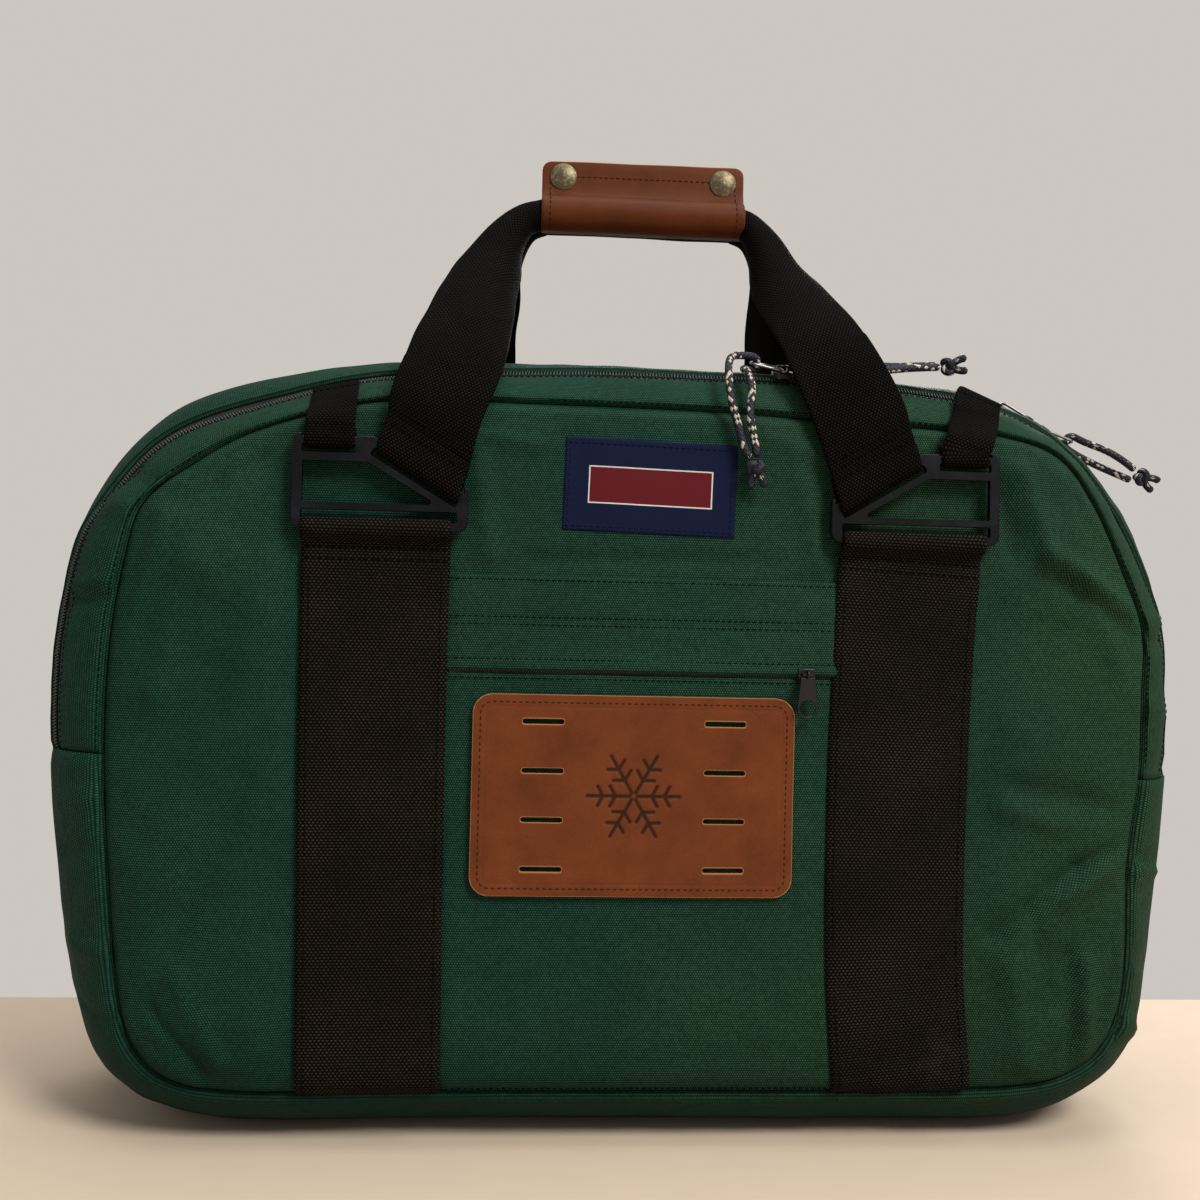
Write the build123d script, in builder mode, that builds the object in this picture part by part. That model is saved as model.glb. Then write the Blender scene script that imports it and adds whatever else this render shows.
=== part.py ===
"""Soft sided two compartment holdall with webbing handles, modelled sub-part by sub-part.

Frame: millimetres, +Z up, +X to the bag's right as its front is seen, the front faces -Y.
The origin is the centre of the flat base, on the surface that the bag stands on.
"""
from build123d import *
import math
import os

os.makedirs("parts", exist_ok=True)

# ---- driving dimensions ------------------------------------------------------
BODY_HEIGHT = 414.0
BODY_DEPTH = 184.0
BASE_HALF_WIDTH = 292.0      # half width where the sides meet the base
CROWN_HALF_WIDTH = 313.0     # half width where the sides would meet the top
TOP_CORNER_R = 150.0
BOTTOM_CORNER_R = 58.0
EDGE_R = 40.0                # rounding from the panels into the gusset
WALL = 2.4                   # fabric with its lining
SEAM_GAP = 0.15              # between neighbouring fabric pieces
REST_GAP = 0.3               # between pieces that only lie on each other

SEAM_Z = 200.0               # cross seam between zipped top and bottom gusset
FRONT_ZIP_Y = -66.0
REAR_ZIP_Y = -28.0
COIL_W = 6.4
COIL_SINK = 0.3              # how far the coil lies below the fabric's face
TAPE_W = 28.0
TAPE_T = 1.1
DIVIDER_T = 1.5
DIVIDER_Y = REAR_ZIP_Y - TAPE_W / 2 - 2.0
BOARD_T = 3.0
BOARD_HALF_LENGTH = BASE_HALF_WIDTH - 42.0
BOARD_HALF_DEPTH = 58.0

STRAP_W = 76.2
STRAP_T = 1.8
STRAP_INNER_X = 102.9
TAB_W = 25.4
TAB_T = 1.6
HANDLE_W = 49.6
HANDLE_T = 1.8

LINK_X = 184.9               # outer side of each link, from the middle of the bag
LINK_Z = BODY_HEIGHT - 95.5  # underside of each link
LINK_W = 90.0
LINK_H = 49.0
LINK_T = 4.0
LINK_BAR = 4.4               # strap bar and inner rails
LINK_END = 4.8               # the upright at the outer side

PLACKET_TOP_Z = BODY_HEIGHT - 116.0
POCKET_ZIP_Z = BODY_HEIGHT - 165.0
POCKET_BOTTOM_Z = 27.0
OVERLAY_T = 1.2
POCKET_TAPE_T = 0.9
POCKET_TAPE_W = 26.0
POCKET_COIL_W = 4.4
LINING_W = 190.0
LINING_DEPTH = 165.0
LINING_T = 1.0

PATCH_W = 168.0
PATCH_H = 104.0
PATCH_T = 2.4
PATCH_X = -6.0
PATCH_Z = POCKET_ZIP_Z - 65.0
PATCH_R = 10.0
LASH_SLOT_L = 22.0
LASH_SLOT_W = 2.8
LASH_INSET = 36.5            # slot centres, from the patch's ends
LASH_PITCH = 25.4
LASH_ROWS = 4
LABEL_W = 91.0
LABEL_H = 49.0
LABEL_T = 0.8
LABEL_Z = BODY_HEIGHT - 68.5

GRIP_LENGTH = 120.0
GRIP_Y = -12.0
GRIP_Z = BODY_HEIGHT + 101.5
GRIP_R = 11.0
LEATHER_T = 2.2
GRIP_TOP_Z = GRIP_Z + 31.5
CORE_W = 15.0                # webbing folded lengthways inside the grip
CORE_T = 7.0
SNAP_X = 47.5
SNAP_Z = GRIP_Z + 21.5
SNAP_CAP_R = 7.8
SNAP_CAP_H = 3.0
SOCKET_R = 3.9
STUD_R = 2.0
STUD_CLEARANCE = 0.3

SLIDER_L = 11.0
SLIDER_W = 8.6
SLIDER_H = 3.2
BRIDGE_W = 2.6
BRIDGE_L = 7.0
BRIDGE_GAP = 2.4             # under the bridge, where the wire hangs
BRIDGE_T = 1.0
WIRE_R = 0.85
WIRE_L = 16.0
WIRE_W = 8.6
SLIDER_MEET_X = 80.0         # the two front sliders meet here when closed
SLIDER_MEET_ANGLE = 31.0     # the two rear sliders meet here, from the top of the arc
POCKET_SLIDER_X = 84.0
POCKET_SLIDER_L = 9.0
POCKET_SLIDER_W = 6.4
POCKET_SLIDER_H = 2.2
POCKET_BRIDGE_W = 1.6
POCKET_TAB_L = 23.0
POCKET_TAB_TOP_W = 7.5
POCKET_TAB_END_R = 5.4
POCKET_TAB_T = 1.6
POCKET_TAB_HOLE_R = 4.2

CORD_R = 2.1
KNOT_R = 6.6

# ---- values worked out from them ---------------------------------------------
FACE_Y = -BODY_DEPTH / 2
PANEL_BACK_Y = FACE_Y + WALL
SIDE_LEAN = math.atan2(CROWN_HALF_WIDTH - BASE_HALF_WIDTH, BODY_HEIGHT)
ARC_Z = BODY_HEIGHT - TOP_CORNER_R
ARC_X = (BASE_HALF_WIDTH + ARC_Z * math.tan(SIDE_LEAN)) - TOP_CORNER_R / math.cos(SIDE_LEAN)
EDGE_Y = FACE_Y + EDGE_R     # centre of the edge rounding
EDGE_Z = BODY_HEIGHT - EDGE_R
STRAP_Y = FACE_Y - REST_GAP - STRAP_T / 2
LINK_Y = FACE_Y - 6.6        # middle plane of the links
OVERLAY_Y = FACE_Y - POCKET_TAPE_T - 0.1
OVERLAY_HALF_WIDTH = STRAP_INNER_X - SEAM_GAP
PATCH_BACK_Y = OVERLAY_Y - OVERLAY_T - SEAM_GAP
SIDES = {"left": -1, "right": 1}


def save(part, label):
    part.label = label
    export_step(part, f"parts/{label}.step")


def body_form(inset):
    """The bag's closed outer form, moved inwards by inset."""
    depth = BODY_DEPTH / 2 - inset
    with BuildPart() as form:
        with BuildSketch(Plane.XZ.offset(-depth)) as outline:
            with BuildLine():
                Polyline(
                    (-BASE_HALF_WIDTH, 0), (BASE_HALF_WIDTH, 0),
                    (CROWN_HALF_WIDTH, BODY_HEIGHT), (-CROWN_HALF_WIDTH, BODY_HEIGHT), close=True,
                )
            make_face()
            fillet(outline.vertices().group_by(Axis.Y)[0], BOTTOM_CORNER_R)
            fillet(outline.vertices().group_by(Axis.Y)[-1], TOP_CORNER_R)
            if inset:
                offset(amount=-inset, kind=Kind.INTERSECTION, mode=Mode.REPLACE)
        extrude(amount=2 * depth)
        loops = form.edges().filter_by(lambda e: abs(abs(e.center().Y) - depth) < 0.01)
        fillet(loops, EDGE_R - inset)
    return form.part


def band(outer, inner, y_low, y_high, z_low, z_high):
    """The wall between two forms, cut to a range of depth and height."""
    with BuildPart() as piece:
        add(outer)
        add(inner, mode=Mode.SUBTRACT)
        with Locations((0, (y_low + y_high) / 2, (z_low + z_high) / 2)):
            Box(4 * BODY_HEIGHT, y_high - y_low, z_high - z_low, mode=Mode.INTERSECT)
    return piece.part


# ---- fabric shell ------------------------------------------------------------
outer_form = body_form(0)
lining_form = body_form(WALL)
cavity_form = body_form(WALL + TAPE_T)
coil_form = body_form(COIL_SINK)
TOP_Z = 2 * BODY_HEIGHT
BELOW_Z = -BODY_HEIGHT

front_panel = band(outer_form, lining_form, 2 * FACE_Y, PANEL_BACK_Y - SEAM_GAP, BELOW_Z, TOP_Z)
save(front_panel, "front_panel")
rear_panel = band(outer_form, lining_form, SEAM_GAP - PANEL_BACK_Y, -2 * FACE_Y, BELOW_Z, TOP_Z)
save(rear_panel, "rear_panel")
bottom_gusset = band(outer_form, lining_form, PANEL_BACK_Y, -PANEL_BACK_Y, BELOW_Z, SEAM_Z - SEAM_GAP)
save(bottom_gusset, "bottom_gusset")

COIL_CLEAR = COIL_W / 2 + SEAM_GAP
STRIPS = {
    "front_top_strip": (PANEL_BACK_Y, FRONT_ZIP_Y - COIL_CLEAR),
    "middle_top_strip": (FRONT_ZIP_Y + COIL_CLEAR, REAR_ZIP_Y - COIL_CLEAR),
    "rear_top_strip": (REAR_ZIP_Y + COIL_CLEAR, -PANEL_BACK_Y),
}
for name, (y_low, y_high) in STRIPS.items():
    save(band(outer_form, lining_form, y_low, y_high, SEAM_Z, TOP_Z), name)

for name, zip_y in (("front_zipper", FRONT_ZIP_Y), ("rear_zipper", REAR_ZIP_Y)):
    half_tape = TAPE_W / 2
    tape = band(lining_form, cavity_form, zip_y - half_tape, zip_y + half_tape, SEAM_Z, TOP_Z)
    coil = band(coil_form, lining_form, zip_y - COIL_W / 2, zip_y + COIL_W / 2, SEAM_Z, TOP_Z)
    with BuildPart() as zipper:
        add(tape)
        add(coil)
    save(zipper.part, name)

divider_form = body_form(WALL + TAPE_T + REST_GAP)
with BuildPart() as divider_panel:
    add(divider_form)
    with Locations((0, DIVIDER_Y, BODY_HEIGHT / 2)):
        Box(4 * BODY_HEIGHT, DIVIDER_T, 4 * BODY_HEIGHT, mode=Mode.INTERSECT)
save(divider_panel.part, "divider_panel")

BOARD_Z = WALL + TAPE_T + 2 * REST_GAP
BOARD_FRONT_Y = DIVIDER_Y + DIVIDER_T / 2 + REST_GAP
with BuildPart() as bottom_board:
    with BuildSketch(Plane.XY.offset(BOARD_Z)):
        with Locations((0, (BOARD_FRONT_Y + BOARD_HALF_DEPTH) / 2)):
            RectangleRounded(2 * BOARD_HALF_LENGTH, BOARD_HALF_DEPTH - BOARD_FRONT_Y, 12)
    extrude(amount=BOARD_T)
save(bottom_board.part, "bottom_board")

# ---- front pocket ------------------------------------------------------------
with BuildPart() as pocket_placket:
    with BuildSketch(Plane.XZ.offset(-OVERLAY_Y)):
        with BuildLine():
            FilletPolyline(
                (-OVERLAY_HALF_WIDTH, PLACKET_TOP_Z), (OVERLAY_HALF_WIDTH, PLACKET_TOP_Z),
                (OVERLAY_HALF_WIDTH, POCKET_ZIP_Z + POCKET_COIL_W / 2 + SEAM_GAP),
                (-OVERLAY_HALF_WIDTH, POCKET_ZIP_Z + POCKET_COIL_W / 2 + SEAM_GAP),
                radius=0.8, close=True,
            )
        make_face()
    extrude(amount=OVERLAY_T)
save(pocket_placket.part, "pocket_placket")

with BuildPart() as pocket_front:
    with BuildSketch(Plane.XZ.offset(-OVERLAY_Y)):
        with Locations((0, (POCKET_BOTTOM_Z + POCKET_ZIP_Z - POCKET_COIL_W / 2 - SEAM_GAP) / 2)):
            Rectangle(2 * OVERLAY_HALF_WIDTH,
                      POCKET_ZIP_Z - POCKET_COIL_W / 2 - SEAM_GAP - POCKET_BOTTOM_Z)
    extrude(amount=OVERLAY_T)
save(pocket_front.part, "pocket_front")

with BuildPart() as pocket_zipper:
    with Locations((0, FACE_Y - SEAM_GAP / 2 - POCKET_TAPE_T / 2, POCKET_ZIP_Z)):
        Box(2 * OVERLAY_HALF_WIDTH, POCKET_TAPE_T, POCKET_TAPE_W)
    with Locations((0, OVERLAY_Y - OVERLAY_T / 2, POCKET_ZIP_Z)):
        Box(2 * OVERLAY_HALF_WIDTH, OVERLAY_T + 0.2, POCKET_COIL_W)
save(pocket_zipper.part, "pocket_zipper")

with BuildPart() as pocket_lining:
    with BuildSketch(Plane.XZ.offset(-(PANEL_BACK_Y + REST_GAP + LINING_T))):
        with Locations((0, POCKET_ZIP_Z - LINING_DEPTH / 2)):
            RectangleRounded(LINING_W, LINING_DEPTH, 14)
    extrude(amount=LINING_T)
save(pocket_lining.part, "pocket_lining")

with BuildPart() as leather_patch:
    with BuildSketch(Plane.XZ.offset(-PATCH_BACK_Y)):
        with Locations((PATCH_X, PATCH_Z)):
            RectangleRounded(PATCH_W, PATCH_H, PATCH_R)
            with GridLocations(PATCH_W - 2 * LASH_INSET, LASH_PITCH, 2, LASH_ROWS):
                SlotOverall(LASH_SLOT_L, LASH_SLOT_W, mode=Mode.SUBTRACT)
    extrude(amount=PATCH_T)
    fillet(leather_patch.faces().sort_by(Axis.Y)[0].outer_wire().edges(), 0.7)
save(leather_patch.part, "leather_patch")

with BuildPart() as woven_label:
    with BuildSketch(Plane.XZ.offset(-(FACE_Y - SEAM_GAP))):
        with Locations((0, LABEL_Z)):
            RectangleRounded(LABEL_W, LABEL_H, 1.2)
    extrude(amount=LABEL_T)
save(woven_label.part, "woven_label")

# ---- links -------------------------------------------------------------------
# Link frame: u runs from the outer side towards the middle of the bag, v runs up.
RAIL_TOP_V = 39.2            # top of the inner frame
RAIL_V = 11.9                # middle of the long rail over the strap slot
STRAP_BAR_V = 2.4
TAB_BAR_V = 45.4
POST_U = 36.0                # centre post between tab and handle
POST_W = 6.4
SLANT_START = (0.4356 * LINK_W, 0.7918 * LINK_H)   # top edge of the inner slanted rail
SLANT_END = (0.9244 * LINK_W, 0.2571 * LINK_H)
HORN_V = 0.47 * LINK_H       # top of the horn where the slanted bar meets the inner side
WINDOW_END_U = 0.79 * LINK_W
WINDOW_END_V = RAIL_V + 0.08 * LINK_H
WINDOW_TURN_U = 0.429 * LINK_W
SLANT = math.atan2(SLANT_START[1] - SLANT_END[1], SLANT_END[0] - SLANT_START[0])
SLOT_W = 4.3
HANDLE_BAR_OFF = SLOT_W + LINK_BAR / 2 - 0.2
NORMAL = (math.sin(SLANT), math.cos(SLANT))


def beyond(point, distance):
    """A point of the link's frame, moved square off the slanted rail."""
    return (point[0] + NORMAL[0] * distance, point[1] + NORMAL[1] * distance)


def make_link():
    bar_start = beyond(SLANT_START, HANDLE_BAR_OFF)
    bar_end = beyond(SLANT_END, HANDLE_BAR_OFF)
    end_u = LINK_W - LINK_END - 0.6
    with BuildPart() as link:
        with BuildSketch(Plane.XY) as outline:
            with BuildLine():
                Polyline(
                    (0, 0), (0, LINK_H), (LINK_END, LINK_H), (LINK_END, TAB_BAR_V + 2),
                    (POST_U - POST_W / 2, TAB_BAR_V + 2), (POST_U - POST_W / 2, LINK_H - 0.8),
                    (POST_U + POST_W / 2 + 2, LINK_H - 0.8), beyond(SLANT_START, HANDLE_BAR_OFF + 2.4),
                    beyond(SLANT_END, HANDLE_BAR_OFF + 2.4), (LINK_W - 2.4, HORN_V),
                    (LINK_W, HORN_V), (LINK_W, 0), close=True,
                )
            make_face()
            fillet(outline.vertices().group_by(Axis.Y)[0], 5.6)
            fillet(outline.vertices().sort_by_distance(Vector(0, LINK_H))[0], 3.8)
            fillet(outline.vertices().sort_by_distance(Vector(LINK_W, HORN_V))[0], 1.8)
            # window between the inner rails
            with BuildLine():
                FilletPolyline(
                    (LINK_END + 0.5, RAIL_V + 1.7), (LINK_END + 0.5, RAIL_TOP_V - LINK_BAR + 0.2),
                    (WINDOW_TURN_U, RAIL_TOP_V - LINK_BAR + 0.2), (WINDOW_END_U, WINDOW_END_V),
                    (WINDOW_END_U - 0.4, RAIL_V + 1.7),
                    radius=1.0, close=True,
                )
            make_face(mode=Mode.SUBTRACT)
            # slots for the wide strap, the tab and the handle webbing
            strap_slot_low = STRAP_BAR_V + LINK_BAR / 2
            strap_slot_high = RAIL_V - 1.7
            with Locations(((LINK_END + end_u) / 2, (strap_slot_low + strap_slot_high) / 2)):
                RectangleRounded(end_u - LINK_END, strap_slot_high - strap_slot_low, 1.2,
                                 mode=Mode.SUBTRACT)
            tab_slot_low = RAIL_TOP_V
            tab_slot_high = TAB_BAR_V - 1.9
            with Locations(((LINK_END + POST_U - POST_W / 2) / 2, (tab_slot_low + tab_slot_high) / 2)):
                RectangleRounded(POST_U - POST_W / 2 - LINK_END, tab_slot_high - tab_slot_low, 1.2,
                                 mode=Mode.SUBTRACT)
            slot_centre = beyond(((SLANT_START[0] + SLANT_END[0]) / 2,
                                  (SLANT_START[1] + SLANT_END[1]) / 2), SLOT_W / 2)
            slot_length = math.dist(bar_start, bar_end)
            with Locations(Location((slot_centre[0], slot_centre[1], 0), (0, 0, -math.degrees(SLANT)))):
                RectangleRounded(slot_length, SLOT_W, 1.2, mode=Mode.SUBTRACT)
        extrude(amount=LINK_T / 2, both=True)
        rims = [face.outer_wire().edges() for face in link.faces().filter_by(Axis.Z)]
        chamfer(sum(rims, []), 0.5)
    return link.part


link_form = make_link()


def placed(part, side, front):
    """Puts a piece drawn in the left link's frame, or its mirror image, on the bag."""
    piece = Plane(
        origin=(-LINK_X, LINK_Y, LINK_Z), x_dir=(1, 0, 0), z_dir=(0, -1, 0)
    ).location * part
    if side == "right":
        piece = piece.mirror(Plane.YZ)
    if not front:
        piece = piece.mirror(Plane.XZ)
    return piece


def all_round(part, name):
    """Saves the left front piece and its three mirror images."""
    for side in SIDES:
        save(part if side == "left" else part.mirror(Plane.YZ), f"{name}_front_{side}")
        rear = part.mirror(Plane.XZ)
        save(rear if side == "left" else rear.mirror(Plane.YZ), f"{name}_rear_{side}")


left_link = placed(link_form, "left", True)
all_round(left_link, "link")

# ---- wide straps, tabs and handle ends ---------------------------------------
FOLD_CORNER_R = STRAP_T / 2 + 0.7
ROLL_R = LINK_BAR / 2 + REST_GAP + STRAP_T / 2
ROLL_Z = LINK_Z + STRAP_BAR_V
STITCHED_L = 31.0             # doubled webbing under the roll
ROLL_TUCK = 12.0             # from the bar down to where the tail lies flat
with BuildPart() as wide_strap:
    with BuildSketch(Plane.YZ.offset(-STRAP_INNER_X - STRAP_W)):
        with BuildLine():
            strap_path = FilletPolyline(
                (STRAP_Y, POCKET_BOTTOM_Z), (STRAP_Y, ROLL_Z - STITCHED_L - 9),
                (STRAP_Y - STRAP_T - 0.5, ROLL_Z - STITCHED_L),
                (STRAP_Y - STRAP_T - 0.7, ROLL_Z - STITCHED_L / 2),
                (LINK_Y - ROLL_R, ROLL_Z - 5), (LINK_Y - ROLL_R, ROLL_Z + ROLL_R),
                (LINK_Y + ROLL_R, ROLL_Z + ROLL_R), (LINK_Y + ROLL_R, ROLL_Z - 3),
                (STRAP_Y, ROLL_Z - ROLL_TUCK), (STRAP_Y, ROLL_Z - STITCHED_L + 3),
                radius=[6, 6, 2, 2, FOLD_CORNER_R, FOLD_CORNER_R, 2, 2],
            )
        trace(strap_path, line_width=STRAP_T)
    extrude(amount=STRAP_W)
all_round(wide_strap.part, "wide_strap")

TAB_ROLL_R = 2.0 + REST_GAP + TAB_T / 2
TAB_X = LINK_X - (LINK_END + POST_U - POST_W / 2) / 2
TAB_BAR_Z = LINK_Z + TAB_BAR_V
TAB_ARC_R = EDGE_R + REST_GAP + TAB_T / 2
with BuildPart() as tab:
    with BuildSketch(Plane.YZ.offset(-TAB_X - TAB_W / 2)):
        with BuildLine():
            over_edge = CenterArc((EDGE_Y, EDGE_Z), TAB_ARC_R, 118, 50)
            hanging = FilletPolyline(
                over_edge @ 1, (over_edge @ 1) + 4 * (over_edge % 1),
                (LINK_Y - TAB_ROLL_R, TAB_BAR_Z + 5.5), (LINK_Y - TAB_ROLL_R, TAB_BAR_Z - TAB_ROLL_R),
                (LINK_Y + TAB_ROLL_R, TAB_BAR_Z - TAB_ROLL_R), (LINK_Y + TAB_ROLL_R, TAB_BAR_Z + 7),
                radius=[3, 2, FOLD_CORNER_R, FOLD_CORNER_R],
            )
        trace([over_edge, hanging], line_width=TAB_T)
    extrude(amount=TAB_W)
all_round(tab.part, "tab")

BAR_MID = beyond(((SLANT_START[0] + SLANT_END[0]) / 2, (SLANT_START[1] + SLANT_END[1]) / 2),
                 HANDLE_BAR_OFF)
BAR_DIR = Vector(math.cos(SLANT), 0, -math.sin(SLANT))
LEG_DIR = Vector(math.sin(SLANT), 0, math.cos(SLANT))
BAR_POINT = Vector(-LINK_X + BAR_MID[0], 0, LINK_Z + BAR_MID[1])
END_ROLL_R = 2.2 + REST_GAP + HANDLE_T / 2
END_LENGTH = 17.0
with BuildPart() as handle_end:
    end_plane = Plane(origin=BAR_POINT - BAR_DIR * (HANDLE_W / 2), x_dir=(0, 1, 0), z_dir=BAR_DIR)
    with BuildSketch(end_plane):
        with BuildLine():
            end_path = FilletPolyline(
                (LINK_Y + END_ROLL_R, END_LENGTH - 3), (LINK_Y + END_ROLL_R, -END_ROLL_R),
                (LINK_Y - END_ROLL_R, -END_ROLL_R), (LINK_Y - END_ROLL_R, 5),
                (LINK_Y - 0.2, 12), (LINK_Y - 0.2, END_LENGTH),
                radius=[FOLD_CORNER_R, FOLD_CORNER_R, 2, 2],
            )
        trace(end_path, line_width=HANDLE_T)
    extrude(amount=HANDLE_W)
all_round(handle_end.part, "handle_end")

# ---- handles -----------------------------------------------------------------
leg_start = BAR_POINT + LEG_DIR * (END_LENGTH + REST_GAP)
LEG_SECTIONS = [
    # centre, direction across the webbing, direction along it, width, thickness
    ((leg_start.X, LINK_Y - 0.2, leg_start.Z), BAR_DIR, LEG_DIR, HANDLE_W, HANDLE_T),
    ((-99.0, LINK_Y - 0.2, LINK_Z + 74.5), (0.88, 0, -0.475), (0.45, 0.15, 0.88), HANDLE_W, HANDLE_T),
    ((-84.0, -60.0, LINK_Z + 128.5), (0.84, 0, -0.54), (0.3, 0.5, 0.8), 0.8 * HANDLE_W, 1.6 * HANDLE_T),
    ((-GRIP_LENGTH / 2 - 8.5, GRIP_Y - 6, GRIP_Z - 9), (0.45, 0, -0.9), (0.75, 0.35, 0.55),
     0.42 * HANDLE_W, 3 * HANDLE_T),
    ((-GRIP_LENGTH / 2 - 1, GRIP_Y, GRIP_Z), (0, 0, -1), (1, 0, 0), CORE_W - 1, CORE_T - 1),
    ((-GRIP_LENGTH / 2 + 6, GRIP_Y, GRIP_Z), (0, 0, -1), (1, 0, 0), CORE_W - 1, CORE_T - 1),
]
with BuildPart() as leg:
    for centre, across, along, width, thick in LEG_SECTIONS:
        with BuildSketch(Plane(origin=centre, x_dir=across, z_dir=along)):
            Rectangle(width, thick)
    loft(ruled=True)
left_leg = leg.part


def make_handle(front):
    with BuildPart() as handle:
        add(left_leg)
        add(left_leg.mirror(Plane.YZ))
        with Locations((0, GRIP_Y, GRIP_Z)):
            Box(GRIP_LENGTH, CORE_T, CORE_W)
    return handle.part if front else handle.part.mirror(Plane.XZ)


save(make_handle(True), "front_handle")
save(make_handle(False), "rear_handle")

# ---- leather grip ------------------------------------------------------------
HALF_GAP = SEAM_GAP / 2


def grip_half(sign):
    """Half of the wrap in section: half a tube and its flange. sign is -1 at the front."""
    with BuildPart() as half:
        with BuildSketch(Plane.YZ.offset(-GRIP_LENGTH / 2)):
            with Locations((GRIP_Y, GRIP_Z)):
                Circle(GRIP_R)
                Circle(GRIP_R - LEATHER_T, mode=Mode.SUBTRACT)
            flange_low = GRIP_Z + GRIP_R - LEATHER_T - 0.4
            with Locations((GRIP_Y, (flange_low + GRIP_TOP_Z) / 2)):
                Rectangle(2 * (LEATHER_T + HALF_GAP), GRIP_TOP_Z - flange_low)
            with Locations((GRIP_Y + sign * (HALF_GAP + GRIP_R), GRIP_Z)):
                Rectangle(2 * GRIP_R, 6 * GRIP_R, mode=Mode.INTERSECT)
        extrude(amount=GRIP_LENGTH)
        ends = half.edges().filter_by(Axis.Y).group_by(Axis.Z)[-1]
        fillet(ends, 5)
        with Locations(Plane(origin=(0, GRIP_Y, SNAP_Z), x_dir=(1, 0, 0), z_dir=(0, -1, 0))):
            with Locations((-SNAP_X, 0), (SNAP_X, 0)):
                hole = (SOCKET_R if sign < 0 else STUD_R) + 0.1
                Cylinder(hole, 6 * LEATHER_T, mode=Mode.SUBTRACT)
    return half.part


save(grip_half(1), "grip_wrap")
save(grip_half(-1), "grip_flap")

CAP_RIM = LEATHER_T + 0.9
CAP_TOP = LEATHER_T + SNAP_CAP_H
DOME_R = ((CAP_TOP - CAP_RIM) ** 2 + SNAP_CAP_R ** 2) / (2 * (CAP_TOP - CAP_RIM))
DOME_ANGLE = math.asin(SNAP_CAP_R / DOME_R) / 2
with BuildPart() as snap_caps:
    with BuildSketch(Plane.YZ):
        with BuildLine():
            Polyline(
                (0, STUD_R + STUD_CLEARANCE), (0, SOCKET_R), (-LEATHER_T - 0.1, SOCKET_R),
                (-LEATHER_T - 0.1, SNAP_CAP_R), (-CAP_RIM, SNAP_CAP_R),
            )
            dome = ThreePointArc(
                (-CAP_RIM, SNAP_CAP_R),
                (DOME_R - CAP_TOP - DOME_R * math.cos(DOME_ANGLE), DOME_R * math.sin(DOME_ANGLE)),
                (-CAP_TOP, 0),
            )
            Polyline(dome @ 1, (-LEATHER_T + 0.2, 0), (-LEATHER_T + 0.2, STUD_R + STUD_CLEARANCE),
                     (0, STUD_R + STUD_CLEARANCE))
        make_face()
    revolve(axis=Axis.Y)
socket = snap_caps.part
with BuildPart() as snap_studs:
    with BuildSketch(Plane.YZ):
        with BuildLine():
            Polyline(
                (-1.5, 0), (-1.5, STUD_R - 0.3), (-1.2, STUD_R), (LEATHER_T + 0.1, STUD_R),
                (LEATHER_T + 0.1, 5.4), (LEATHER_T + 0.8, 5.4), (LEATHER_T + 1.3, 4.4),
                (LEATHER_T + 1.3, 0), close=True,
            )
        make_face()
    revolve(axis=Axis.Y)
stud = snap_studs.part
save(Compound([Pos(x, GRIP_Y - HALF_GAP, SNAP_Z) * socket for x in (-SNAP_X, SNAP_X)]), "snap_caps")
save(Compound([Pos(x, GRIP_Y + HALF_GAP, SNAP_Z) * stud for x in (-SNAP_X, SNAP_X)]), "snap_studs")

# ---- sliders and wire pulls --------------------------------------------------
# Slider frame: +X is the way the slider travels to close, +Z stands off the tape.


def make_slider(length, width, height, bridge_length, bridge_width):
    with BuildPart() as slider:
        with BuildSketch(Plane.XY):
            with BuildLine():
                FilletPolyline(
                    (-length / 2, -width / 2 * 0.72), (-length / 4, -width / 2), (length / 2, -width / 2),
                    (length / 2, width / 2), (-length / 4, width / 2), (-length / 2, width / 2 * 0.72),
                    radius=1.0, close=True,
                )
            make_face()
        extrude(amount=height)
        fillet(slider.faces().sort_by(Axis.Z)[-1].edges(), 0.7)
        with BuildSketch(Plane.XZ.offset(-bridge_width / 2)):
            with Locations((0, height + (BRIDGE_GAP + BRIDGE_T) / 2 - 0.3)):
                RectangleRounded(bridge_length, BRIDGE_GAP + BRIDGE_T + 0.6, 1.2)
            with Locations((0, height + BRIDGE_GAP / 2)):
                RectangleRounded(bridge_length - 2 * BRIDGE_T, BRIDGE_GAP, 0.9, mode=Mode.SUBTRACT)
        extrude(amount=bridge_width)
    return slider.part


def make_wire():
    """A closed wire link: its near end hangs under the bridge at the origin, the far end at -X."""
    with BuildPart() as wire:
        with BuildLine():
            FilletPolyline(
                (WIRE_R, -WIRE_W / 2, 0), (WIRE_R, WIRE_W / 2, 0), (-WIRE_L, WIRE_W / 2 * 0.8, 0),
                (-WIRE_L, -WIRE_W / 2 * 0.8, 0), radius=2.2, close=True,
            )
        with BuildSketch(Plane(origin=(WIRE_R, 0, 0), x_dir=(1, 0, 0), z_dir=(0, 1, 0))):
            Circle(WIRE_R)
        sweep()
    return wire.part


slider_form = make_slider(SLIDER_L, SLIDER_W, SLIDER_H, BRIDGE_L, BRIDGE_W)
wire_form = make_wire()
WIRE_Z = SLIDER_H + BRIDGE_GAP / 2
FRONT_TILT = math.degrees(math.asin((EDGE_Y - FRONT_ZIP_Y) / EDGE_R))
front_seat_r = EDGE_R + REST_GAP
front_seat = Vector(0, EDGE_Y - front_seat_r * math.sin(math.radians(FRONT_TILT)),
                    EDGE_Z + front_seat_r * math.cos(math.radians(FRONT_TILT)))
rear_seat_r = TOP_CORNER_R + REST_GAP
HALF_PITCH = SLIDER_L / 2 + REST_GAP


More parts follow.
